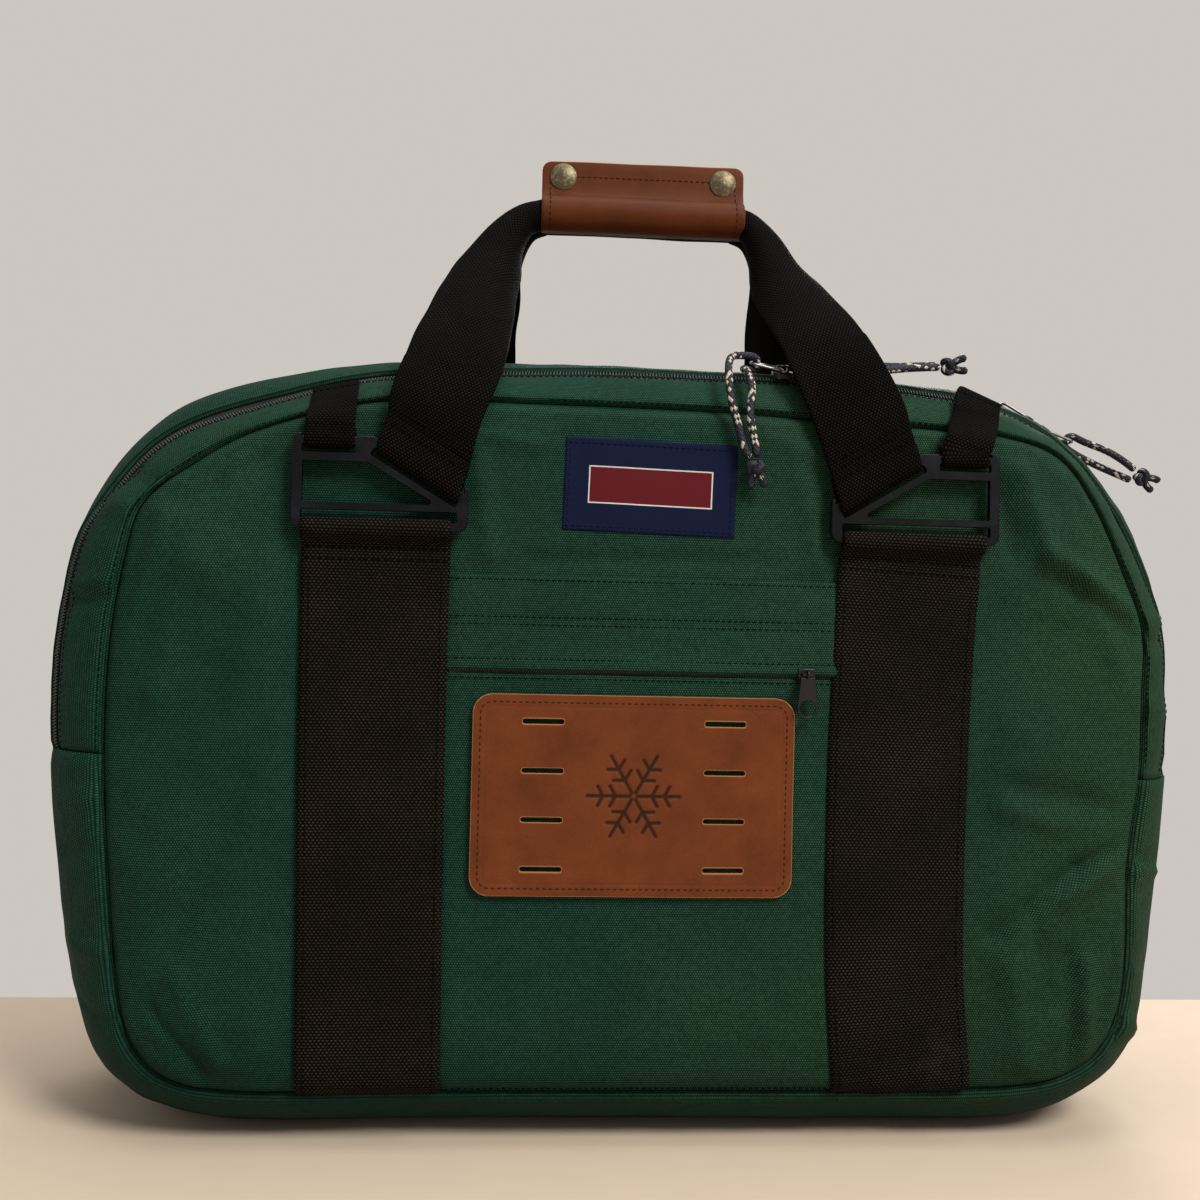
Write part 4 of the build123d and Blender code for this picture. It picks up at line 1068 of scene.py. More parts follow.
class HOLDALL_OT_pocket(bpy.types.Operator):
    """Pocket front, placket, pocket lining and the divider inside"""
    bl_idname = "holdall.pocket"
    bl_label = "Pocket"

    def execute(self, context):
        high = sizes().overlay / MM + 0.7
        left, right = POCKET_LOW[0] - 2, POCKET_HIGH[0] + 2
        bottom, top = POCKET_LOW[2] + 1, POCKET_HIGH[2]

        def beside(x):
            return 0.35 + 0.65 * np.clip((np.minimum(x - left, right - x) - 2) / 5, 0, 1) ** 0.7

        def pocket_height(x, z):
            edge = rounded(np.minimum(top - z, z - bottom), 1.6) * beside(x)
            full = np.sin(np.clip((x - left) / (right - left), 0, 1) * math.pi)
            return high * edge * (0.9 + 0.1 * full) + 0.5 * full * soft_noise(x, z, 48, 5.5)

        laid_sheet("Pocket", spaced(left, right, 4), spaced(bottom, top, 4), pocket_height, 1.1,
                   cloth_material(), "green_packcloth", "pocket_front")
        low, crown = PLACKET_LOW[2] - 3.4, PLACKET_HIGH[2]

        def placket_height(x, z):
            edge = rounded(np.minimum(crown - z, z - low), 1.6) * beside(x)
            ridge = 0.55 * np.exp(-((z - PLACKET_SEAM_Z) / 2.2) ** 2)
            over_zip = 1.3 * np.clip((low + 9 - z) / 6, 0, 1)
            return (high + 0.5) * edge - ridge + over_zip + 0.6 * soft_noise(x, z, 40, 2.5)

        laid_sheet("Placket", spaced(left, right, 4), spaced(low, crown, 3), placket_height, 1.1,
                   cloth_material(), "green_packcloth", "pocket_placket")
        lines = [panel_row([(left + 2, z), (right - 2, z)], high + lift)
                 for z, lift in ((crown - 2.6, 0.55), (PLACKET_SEAM_Z + 2, 0.4),
                                 (PLACKET_SEAM_Z - 2, 0.4), (low + 6.2, 1.2),
                                 (top - 2.6, 0.1), (bottom + 3, 0.0))]
        stitches("Pocket stitching", "bag", "green_packcloth", lines, colours().thread, 0.7)
        self.inside()
        return {"FINISHED"}

    def inside(self):
        """Soft walls that stay hidden while the zips are closed."""
        low, high = span("pocket_lining")
        a, b = np.meshgrid(np.linspace(low[0], high[0], 40), np.linspace(low[2], high[2], 34))
        y = (low[1] + high[1]) / 2 + 0.35 * np.sin(a / 23) * np.cos(b / 31)
        piece = new_object("Pocket lining", np.stack([a, y, b], -1).reshape(-1, 3),
                           grid_faces(*a.shape), np.stack([a, b], -1).reshape(-1, 2))
        thicken(piece, 0.8, 0)
        dress(piece, lining_material(), "bag", "lining_cloth", "pocket_lining")
        low, high = span("divider_panel")
        places, _ = even_places(0, len(LOOPS), 8)
        rim = loop_points(places[:-1])[:, 2]
        scale = (high - low)[[0, 2]] / (rim.max(0) - rim.min(0))
        rings = np.linspace(1, 0.04, 26)
        centre = ((low + high) / 2)[[0, 2]]
        flat = centre + (rim - (rim.max(0) + rim.min(0)) / 2) * scale * rings[:, None, None]
        wave = 2.0 * np.sin(flat[..., 0] / 55) * np.sin(flat[..., 1] / 70) * (1 - rings[:, None] ** 4)
        depth = (low[1] + high[1]) / 2 + wave
        points = np.stack([flat[..., 0], depth, flat[..., 1]], -1).reshape(-1, 3)
        faces = grid_faces(len(rings), len(rim), closed=True)
        faces.append(tuple((len(rings) - 1) * len(rim) + i for i in range(len(rim))))
        piece = new_object("Divider", points, faces, flat.reshape(-1, 2))
        thicken(piece, 1.2, 0)
        dress(piece, lining_material(), "bag", "lining_cloth", "divider_panel")


def round_box(x, z, centre, half, radius):
    qx, qz = np.abs(x - centre[0]) - half[0] + radius, np.abs(z - centre[1]) - half[1] + radius
    return np.hypot(np.maximum(qx, 0), np.maximum(qz, 0)) + np.minimum(np.maximum(qx, qz), 0) - radius


PATCH_MIDDLE = (PATCH_LOW + PATCH_HIGH) / 2
PATCH_HALF = (PATCH_HIGH - PATCH_LOW) / 2
PATCH_THICK = PATCH_HIGH[1] - PATCH_LOW[1]
LASH_HALF, LASH_X, LASH_STEP = (11.0, 1.4), 47.5, 25.4
STAMP_DEPTH, STAMP_HALF, BORDER_IN = 0.5, 0.95, 6.4
PATCH_THREAD, LABEL_THREAD = (0.050, 0.014, 0.006), (0.008, 0.011, 0.038)


def patch_outline(x, z):
    """Signed distance to the patch's outline alone."""
    return round_box(x, z, (0, 0), (PATCH_HALF[0], PATCH_HALF[2]), 10)


def patch_distance(x, z):
    """Signed distance to the patch's outline and lash slots, negative in the leather."""
    outer = patch_outline(x, z)
    for side in (-1, 1):
        for step in (-1.5, -0.5, 0.5, 1.5):
            slot = round_box(x, z, (side * LASH_X, step * LASH_STEP), LASH_HALF, LASH_HALF[1] - 0.01)
            outer = np.maximum(outer, -slot)
    return outer


def patch_sag(x, z):
    """Soft waves of the leather, from places off its middle."""
    return 0.5 * soft_noise(x, z, 60, 4.4)


def snowflake(x, z, reach=24.0):
    """Distance to a plain six armed snow crystal."""
    angle = np.arctan2(z, x)
    radius = np.hypot(x, z)
    fold = np.abs((angle + math.pi / 6) % (math.pi / 3) - math.pi / 6)
    a, b = radius * np.cos(fold), radius * np.sin(fold)
    arm = segment_gap(a, b, (2, 0), (reach, 0))
    for start, size in ((9.5, 5.2), (16.0, 5.0)):
        tip = (start + size * 0.55, size)
        arm = np.minimum(arm, segment_gap(a, b, (start, 0), tip))
    return arm


class HOLDALL_OT_patch(bpy.types.Operator):
    """Leather patch with lash slots, and the woven label"""
    bl_idname = "holdall.patch"
    bl_label = "Patch and label"

    def execute(self, context):
        self.patch()
        self.label()
        return {"FINISHED"}

    def patch(self):
        step = 1.25
        nx, nz = (int(math.ceil(2 * h / step)) + 2 for h in (PATCH_HALF[0], PATCH_HALF[2]))
        xs = (np.arange(nx + 1) - nx / 2) * step
        zs = (np.arange(nz + 1) - nz / 2) * step
        a, b = np.meshgrid(xs, zs)
        middle_a, middle_b = (a[:-1, :-1] + a[1:, 1:]) / 2, (b[:-1, :-1] + b[1:, 1:]) / 2
        keep = patch_distance(middle_a, middle_b) < 0
        count = sum(np.pad(keep.astype(int), ((up, 1 - up), (over, 1 - over)))
                    for up in (0, 1) for over in (0, 1))
        rim = (count > 0) & (count < 4)
        e = 0.05
        for _ in range(4):                    # the rim's points move on to the outline
            gap = patch_distance(a, b)
            slope_a = (patch_distance(a + e, b) - patch_distance(a - e, b)) / (2 * e)
            slope_b = (patch_distance(a, b + e) - patch_distance(a, b - e)) / (2 * e)
            a, b = np.where(rim, a - gap * slope_a, a), np.where(rim, b - gap * slope_b, b)
        used = count > 0
        index = np.full(a.shape, -1)
        index[used] = np.arange(used.sum())
        faces = [(index[r, c], index[r, c + 1], index[r + 1, c + 1], index[r + 1, c])
                 for r, c in zip(*np.nonzero(keep))]
        a, b, edge = a[used], b[used], rim[used].astype(float)
        points = np.stack([a, np.zeros_like(a), b], -1)
        piece = new_object("Patch", points, faces, np.stack([a, b], -1))
        flat = np.stack([a, b, edge], -1).astype(np.float32)
        piece.data.attributes[CLOTH].data.foreach_set("vector", flat.ravel())
        face_outwards(piece, (0, -1, 0))
        modify(piece, "SUBSURF", levels=1, render_levels=1, subdivision_type="SIMPLE")
        thicken(piece, PATCH_THICK)
        modify(piece, "BEVEL", width=0.35 * MM, segments=2, limit_method="ANGLE",
               angle_limit=math.radians(50))
        place = vertex_places(piece)
        x, z = place[:, 0].copy(), place[:, 2].copy()
        front = np.clip(1 - place[:, 1] / PATCH_THICK, 0, 1)
        press = STAMP_DEPTH * (1 - 1 / (1 + np.exp(-(snowflake(x, z) - STAMP_HALF) / 0.16)))
        border = 0.22 * np.exp(-((patch_distance(x, z) + BORDER_IN) / 0.45) ** 2) * (patch_outline(x, z) > -9)
        surface = panel_y(PATCH_MIDDLE[0] + x, PATCH_MIDDLE[2] + z) - PANEL_FACE_Y
        depth = PATCH_LOW[1] + front * (press + border) + patch_sag(x, z) + surface
        place += np.stack([np.full_like(x, PATCH_MIDDLE[0]), depth, np.full_like(x, PATCH_MIDDLE[2])], -1)
        move_vertices(piece, place)
        marks = np.empty(len(place) * 3, np.float32)
        attribute = piece.data.attributes[CLOTH]
        attribute.data.foreach_get("vector", marks)
        marks = marks.reshape(-1, 3)
        marks[:, 2] -= 2.0 * press * (front > 0.5)
        attribute.data.foreach_set("vector", marks.ravel())
        dress(piece, leather_material(), "bag", "saddle_leather", "leather_patch")
        half_x, half_z, r = PATCH_HALF[0] - 4, PATCH_HALF[2] - 4, 6
        loop = []
        for cx, cz, start in ((half_x - r, half_z - r, 0), (-half_x + r, half_z - r, 90),
                              (-half_x + r, -half_z + r, 180), (half_x - r, -half_z + r, 270)):
            for k in range(6):
                angle = math.radians(start + 18 * k)
                loop.append((cx + r * math.cos(angle), cz + r * math.sin(angle)))
        loop.append(loop[0])
        loop = [(x + PATCH_MIDDLE[0], z + PATCH_MIDDLE[2]) for x, z in loop]
        line, facing = panel_row(loop, PANEL_FACE_Y - PATCH_LOW[1] - 0.05)
        line[:, 1] += patch_sag(line[:, 0] - PATCH_MIDDLE[0], line[:, 2] - PATCH_MIDDLE[2])
        stitches("Patch stitching", "bag", "saddle_leather", [(line, facing)], PATCH_THREAD, 0.9)

    def label(self):
        about = ((LABEL_LOW + LABEL_HIGH) / 2)[[0, 2]]
        half = (LABEL_HIGH - LABEL_LOW) / 2
        xs, zs = spaced(-half[0], half[0], 3), spaced(-half[2], half[2], 3)
        turn = math.radians(-1.5)

        def height(a, b):
            edge = rounded(np.minimum(half[0] - np.abs(a), half[2] - np.abs(b)), 0.8)
            return 0.25 + 0.75 * edge + 0.25 * soft_noise(a, b, 30, 6.1)

        laid_sheet("Label", xs, zs, height, 0.7, once("Woven label", label_cloth), "woven_label",
                   "woven_label", turn=turn, about=about)
        w, h = half[0] - 2.6, half[2] - 2.6
        corners = [turned(a, b, turn, about) for a, b in ((-w, -h), (w, -h), (w, h), (-w, h), (-w, -h))]
        lines = [panel_row([p, q], 1.25) for p, q in zip(corners, corners[1:])]
        stitches("Label stitching", "bag", "woven_label", lines, LABEL_THREAD, 0.7)


# ---- webbing -----------------------------------------------------------------------
def band_loft(name, front, back, cloth, edge=None):
    """A closed band from its front and back surfaces, each rows by columns of points in mm."""
    rows, columns = front.shape[:2]
    points = np.concatenate([front, back[:, ::-1]], axis=1)
    values = np.concatenate([cloth, cloth[:, ::-1]], axis=1)
    ring = 2 * columns
    faces = grid_faces(rows, ring, closed=True)
    for r, forward in ((0, False), (rows - 1, True)):
        for c in range(columns - 1):
            face = (r * ring + c, r * ring + c + 1, r * ring + ring - 2 - c, r * ring + ring - 1 - c)
            faces.append(face if forward else face[::-1])
    piece = new_object(name, points.reshape(-1, 3), faces, values.reshape(-1, 2))
    if edge is not None:
        flags = np.concatenate([edge, edge[:, ::-1]], axis=1).reshape(-1)
        flat = np.column_stack([values.reshape(-1, 2), flags]).astype(np.float32)
        piece.data.attributes[CLOTH].data.foreach_set("vector", flat.ravel())
    if sum(p.area * p.normal.dot(p.center) for p in piece.data.polygons) < 0:
        piece.data.flip_normals()
    return piece


def smooth_path(points, step):
    """Evenly spaced values along a curve through the given rows of numbers; x, y, z come first."""
    points = np.asarray(points, float)
    padded = np.vstack([2 * points[0] - points[1], points, 2 * points[-1] - points[-2]])
    fine = []
    for i in range(1, len(points)):
        fine.append(catmull(*padded[i - 1:i + 3], np.linspace(0, 1, 24, endpoint=False)[:, None]))
    fine = np.vstack(fine + [points[-1:]])
    run = lengths_along(fine[:, :3])
    wanted = np.linspace(0, run[-1], max(3, int(run[-1] / step) + 1))
    return np.stack([np.interp(wanted, run, fine[:, k]) for k in range(points.shape[1])], -1), wanted


def ribbon(name, centre, across, width, thickness, run, curl=0.0, columns=19, square=True):
    """Webbing along a line, with the middles, facings and offsets of its points.

    across is the way over its width, which stays askew where square is off, curl is its bend
    over the width in radians, and run is the length of the line to each of its points.
    """
    width, thickness, curl = (np.broadcast_to(np.asarray(value, float), len(centre))[:, None]
                              for value in (width, thickness, curl))
    curl = np.where(np.abs(curl) < 1e-3, 1e-3, curl)
    tangent = unit(np.gradient(centre, axis=0))
    across = np.broadcast_to(across, centre.shape).astype(float)
    if square:
        across = across - tangent * np.sum(across * tangent, axis=1, keepdims=True)
    across = unit(across)
    normal = unit(np.cross(across, tangent))
    share = np.sin(np.linspace(-math.pi / 2, math.pi / 2, columns)) * 0.35 + np.linspace(-1, 1,
                                                                                         columns) * 0.65
    over = share * width / 2
    radius = width / curl
    angle = over / radius
    drop = radius * np.cos(angle) - radius * np.sin(curl / 2) / (curl / 2)
    middle = (centre[:, None] + across[:, None] * (radius * np.sin(angle))[..., None]
              + normal[:, None] * drop[..., None])
    face = across[:, None] * np.sin(angle)[..., None] + normal[:, None] * np.cos(angle)[..., None]
    near = np.clip((np.abs(over) - (width / 2 - thickness * 0.6)) / (thickness * 0.6), 0, 1)
    half = thickness / 2 * np.sqrt(np.clip(1 - near * near, 0.04, 1))
    cloth = np.stack([over, np.broadcast_to(run[:, None], half.shape)], -1)
    half = half[..., None]
    return band_loft(name, middle + face * half, middle - face * half, cloth), (middle, face, over)


def cross_stitch(middle, facing, i, height):
    """A line of stitches over the width of webbing, with its facings."""
    return middle[i, 1:-1] + facing[i, 1:-1] * height, facing[i, 1:-1]


def follow(points, end):
    """Settles points of a strap on the panel, letting go of it towards the link."""
    hold = np.clip((HOLD_HIGH - points[..., 2]) / (HOLD_HIGH - HOLD_LOW), 0, 1)
    hold = hold * hold * (3 - 2 * hold)
    away = panel_y(points[..., 0], points[..., 2], end) - end * abs(PANEL_FACE_Y)
    points = points.copy()
    points[..., 1] += hold * away
    return points


TAB_LEAN = {"left": 0.0, "right": 17.0}         # how far the front tabs' upper ends are off their bars
STRAP_THREAD, HANDLE_THREAD = (0.0030, 0.0026, 0.0021), (0.0036, 0.0031, 0.0025)
HOLD_LOW, HOLD_HIGH = STRAP_BAR_Z - 60, STRAP_BAR_Z - 20   # a strap leaves the panel between these
STRAP_MIDDLE = {   # height, x of the middle; the straps were sewn on a little freely
    "left": ((27, -139.4), (130, -140.6), (232, -142.0), (321, -141.6)),
    "right": ((27, 139.6), (120, 132.6), (232, 135.0), (321, 139.4)),
}


class HOLDALL_OT_straps(bpy.types.Operator):
    """Wide straps up the panels, sewn round the links, and the tabs above them"""
    bl_idname = "holdall.straps"
    bl_label = "Straps"

    def execute(self, context):
        lines = []
        for end_name, end in ENDS.items():
            for side_name, side in SIDES.items():
                lines += self.strap(side_name, side, end_name, end)
                lines += self.tab(side_name, side, end_name, end)
        stitches("Strap stitching", "bag", "dark_webbing", lines, STRAP_THREAD, 0.8)
        return {"FINISHED"}

    def strap(self, side_name, side, end_name, end):
        thick = sizes().web_thickness / MM
        heights, middles = zip(*STRAP_MIDDLE[side_name])
        bar = STRAP_BAR_Z
        roll = BAR_R + 0.3 + thick / 2
        face = PANEL_FACE_Y - 1.4 - thick / 2
        route = [(face, STRAP_LOW[2]), (face, 100), (face, 200), (face, bar - 44), (face - 0.8, bar - 32),
                 (face - 1.2, bar - 20), (face - 0.7, bar - 11.5), (face - 1.6, bar - 7.6),
                 (LINK_Y - roll + 1.6, bar - 5.2), (LINK_Y - roll - 0.5, bar - 2.2)]
        for a in np.radians(range(15, 181, 33)):
            route.append((LINK_Y - (roll + 0.4) * math.cos(a), bar + roll * math.sin(a)))
        route += [(LINK_Y + roll * 0.7, bar - 5), (face + thick * 0.7, bar - 14),
                  (face + thick * 0.6, bar - 27)]
        path, run = smooth_path([(np.interp(z, heights, middles), -end * y, z) for y, z in route], 3.0)
        width = np.interp(path[:, 2], (27, 130, 321), (73.5, 74.5, STRAP_HIGH[0] - STRAP_LOW[0]))
        piece, (middle, facing, over) = ribbon(f"Strap {end_name} {side_name}", path, (-end, 0, 0), width,
                                               thick, run)
        move_vertices(piece, follow(vertex_places(piece), end))
        dress(piece, webbing_material(), "bag", "dark_webbing", f"wide_strap_{end_name}_{side_name}")
        lines = []
        flat = np.nonzero((path[:, 2] < bar - 12) & (np.arange(len(path)) < len(path) * 0.8))[0]
        for column in (1, middle.shape[1] - 2):
            line = middle[flat, column] + facing[flat, column] * (thick / 2 + 0.1)
            line[:, 0] += np.sign(over[flat, column]) * end * 1.2
            lines.append((follow(line, end), facing[flat, column]))
        upward = path[:int(np.argmax(path[:, 2])), 2]
        for height in (bar - 12, bar - 18):
            i = int(np.argmin(np.abs(upward - height)))
            line, facings = cross_stitch(middle, facing, i, thick / 2 + 0.15)
            lines.append((follow(line, end), facings))
        return lines

    def tab(self, side_name, side, end_name, end):
        thick, roll = 1.6, 3.1
        bar = TAB_BAR_Z
        x = side * abs(TAB_LOW[0] + TAB_HIGH[0]) / 2
        near = loop_points(FINE_T)[:, 0]
        upper = (near[:, 1] > 300) & (np.sign(near[:, 0]) == side)
        place = FINE_T[upper][int(np.argmin(np.abs(near[upper, 0] - x)))]
        rows = np.linspace(4.0, 1.4, 7) if end < 0 else np.linspace(14.6, LAST_ROW - 1.6, 7)
        over, normals = shell_with_normals([place], rows)
        lift = creases(over, rows) + np.linspace(4.0, 2.0, len(rows))[:, None]
        over = (over + normals * lift[..., None])[:, 0]
        lean = TAB_LEAN[side_name] * np.linspace(1, 0.6, len(over)) * (end < 0)
        over[:, 0] = x + (over[:, 0] - x) * 0.15 + lean
        link_y = abs(LINK_Y)
        points = [tuple(p) for p in over]
        points.append((x + lean[-1] * 0.35, end * (link_y - 0.4), bar + 13))
        points.append((x, end * (link_y + roll - 0.9), bar + 5))
        for a in np.radians(range(0, 181, 36)):
            points.append((x, end * (link_y + roll * math.cos(a)), bar - roll * math.sin(a)))
        points.append((x, end * (link_y - roll - 0.4), bar + 7))
        path, run = smooth_path(points, 1.6)
        slope = unit((shell([place + 0.15], rows) - shell([place - 0.15], rows)).mean(axis=(0, 1)))
        share = np.clip((path[:, 2] - bar - 8) / 16, 0, 1)[:, None]      # lies flat on the sloping cloth
        way = np.array((end, 0, 0)) * (1 - share) + slope * np.sign(slope[0]) * end * share
        piece, (middle, facing, _) = ribbon(f"Tab {end_name} {side_name}", path, way,
                                            TAB_HIGH[0] - TAB_LOW[0], thick, run, columns=11)
        dress(piece, handle_material(), "bag", "dark_webbing", f"tab_{end_name}_{side_name}")
        return [cross_stitch(middle, facing, int(np.argmin(np.abs(run - distance))), thick / 2 + 0.1)
                for distance in (5.0, run[-1] - 26.0)]


# ---- handles -----------------------------------------------------------------------
BAR_MIDDLE = np.array((-120.5, LINK_Y, 349.6))
BAR_WAY = np.array((0.859, 0, -0.512))
LEG_WAY = np.array((0.27, 0, 0.963))         # the webbing leaves its bar a little off square
HANDLE_W, HANDLE_T = 49.6, 1.9
LEG_START = 17.0
LEGS = {   # x, y, z, width, curl and thickness up one leg; the grip gathers the webbing
    "left": [
        (-116.0, -99.1, 365.6, 49.6, 0.02, 1.9), (-112.5, -98.0, 384, 49.6, 0.04, 1.9),
        (-104.3, -86, 411, 51.4, 0.4, 1.9), (-98.6, -69, 436, 51.0, 1.2, 1.9),
        (-93.8, -51, 459, 49.4, 1.9, 1.9), (-88.0, -35, 480, 48.0, 2.6, 1.9),
        (-81.5, -23, 497, 47.5, 4.2, 1.9), (-71.5, -15.0, 509.5, 47.5, 5.7, 1.8),
        (-60.0, -12.2, 514.5, 47.5, 6.1, 1.8), (-46.0, -12, 515.5, 47.5, 6.15, 1.8),
    ],
    "right": [
        (116.0, -99.1, 365.6, 49.6, 0.02, 1.9), (110.0, -98.0, 385, 49.6, 0.04, 1.9),
        (99.8, -91.5, 411, 47.4, 0.10, 1.9), (90.9, -77.5, 436, 44.4, 0.5, 1.9),
        (83.0, -55, 459, 43.0, 1.5, 1.9), (76.6, -36, 480, 44.0, 2.5, 1.9),
        (72.5, -23, 497, 47.5, 4.3, 1.9), (66.0, -15.0, 509.0, 47.5, 5.7, 1.8),
        (58.5, -12.2, 514.5, 47.5, 6.1, 1.8), (46.0, -12, 515.5, 47.5, 6.15, 1.8),
    ],
}


class HOLDALL_OT_handles(bpy.types.Operator):
    """Webbing handles from the links up, front and rear"""
    bl_idname = "holdall.handles"
    bl_label = "Handles"

    def execute(self, context):
        for end_name, end in ENDS.items():
            self.handle(end_name, end)
        return {"FINISHED"}

    def handle(self, end_name, end):
        body = f"{end_name}_handle"
        left = np.array(LEGS["left"])
        right = np.array(LEGS["right"]) if end < 0 else left * (-1, 1, 1, 1, 1, 1)
        whole = np.vstack([left, right[::-1]])
        whole[:, 1] *= -end
        if end > 0:                       # the rear handle rests a little higher, behind the grip
            whole[:, 2] += 4.0 * np.clip((whole[:, 2] - 430) / 70, 0, 1)
        path, run = smooth_path(whole, 3.0)
        tangent = np.gradient(path[:, :3], axis=0)
        tangent /= np.linalg.norm(tangent, axis=1, keepdims=True)
        start = BAR_WAY * -end
        finish = BAR_WAY * (end, 1, -end)
        across = carried(tangent, start)
        back = carried(tangent[::-1], finish)[::-1]
        share = np.clip((np.linspace(0, 1, len(path)) - 0.4) / 0.2, 0, 1)
        mixed = turned_between(tangent, across, back, share)
        for bar_way, distance in ((start, run), (finish, run[-1] - run)):
            sheared = np.clip(1 - distance / 40, 0, 1)[:, None]
            mixed = mixed * (1 - sheared) + bar_way * sheared
        wave = 0.5 * np.array([noise.noise(Vector((r / 31, 2.2 * end, 0.7))) for r in run])
        piece, (middle, facing, over) = ribbon(f"{end_name.title()} handle", path[:, :3], mixed, path[:, 3],
                                               path[:, 5], curl=path[:, 4] + wave * (path[:, 4] > 0.3),
                                               run=run,
                                               columns=31, square=False)
        dress(piece, handle_material(), body, "dark_webbing", body)
        lines = [cross_stitch(middle, facing, i, 1.15) for i in (2, len(path) - 3)]
        for side_name, side in SIDES.items():
            self.end(end_name, end, side_name, side)
        stitches(f"{end_name.title()} handle stitching", body, "dark_webbing", lines, HANDLE_THREAD, 0.8)

    def end(self, end_name, end, side_name, side):
        """Webbing sewn round the link's slanted bar; it bends between the bag and the handle."""
        roll = BAR_R + 0.35 + HANDLE_T / 2
        route = [(-0.65, LEG_START + 0.8), (-1.2, LEG_START - 5), (-roll + 0.7, 6.5), (-roll, 2.0)]
        for angle in range(0, 181, 30):
            a = math.radians(angle)
            route.append((-roll * math.cos(a), -roll * math.sin(a)))
        route += [(roll - 0.5, 4.5), (2.4, LEG_START - 6), (1.6, LEG_START - 1)]
        mirror = np.array((-side, -end, 1))
        points = [(BAR_MIDDLE + LEG_WAY * v + np.array((0, y, 0))) * mirror for y, v in route]
        path, run = smooth_path(points, 1.6)
        across = BAR_WAY * mirror * np.array((1, 0, 1))
        facing_out = np.cross(across, np.gradient(path, axis=0)[0])
        if facing_out[1] * end < 0:
            across = -across
        name = f"handle_end_{end_name}_{side_name}"
        piece, (middle, facing, over) = ribbon(f"Handle end {end_name} {side_name}", path, across, HANDLE_W,
                                               HANDLE_T, run=run, columns=31, square=False)
        dress(piece, handle_material(), None, "dark_webbing", name)
        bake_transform(piece)
        i = int(np.argmin(np.abs(run - 5.5)))
        line = (middle[i, 1:-1] + facing[i, 1:-1] * (HANDLE_T / 2 + 0.1), facing[i, 1:-1])
        row_piece = stitches(f"Handle end stitching {end_name} {side_name}", None, "dark_webbing", [line],
                             (0.0036, 0.0031, 0.0025), 0.8)
        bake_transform(row_piece)


def carried(tangent, start):
    """A direction carried along a line without twist."""
    found = [start - tangent[0] * np.dot(start, tangent[0])]
    for t in tangent[1:]:
        found.append(unit(found[-1] - t * np.dot(found[-1], t)))
    found[0] = unit(found[0])
    return np.array(found)


def turned_between(tangent, first, second, share):
    """Turns from one direction to another about the line, by a share from 0 to 1."""
    result = []
    for t, a, b, s in zip(tangent, first, second, share):
        other = np.cross(t, a)
        angle = math.atan2(np.dot(other, b), np.dot(a, b)) * s
        result.append(a * math.cos(angle) + other * math.sin(angle))
    return np.array(result)


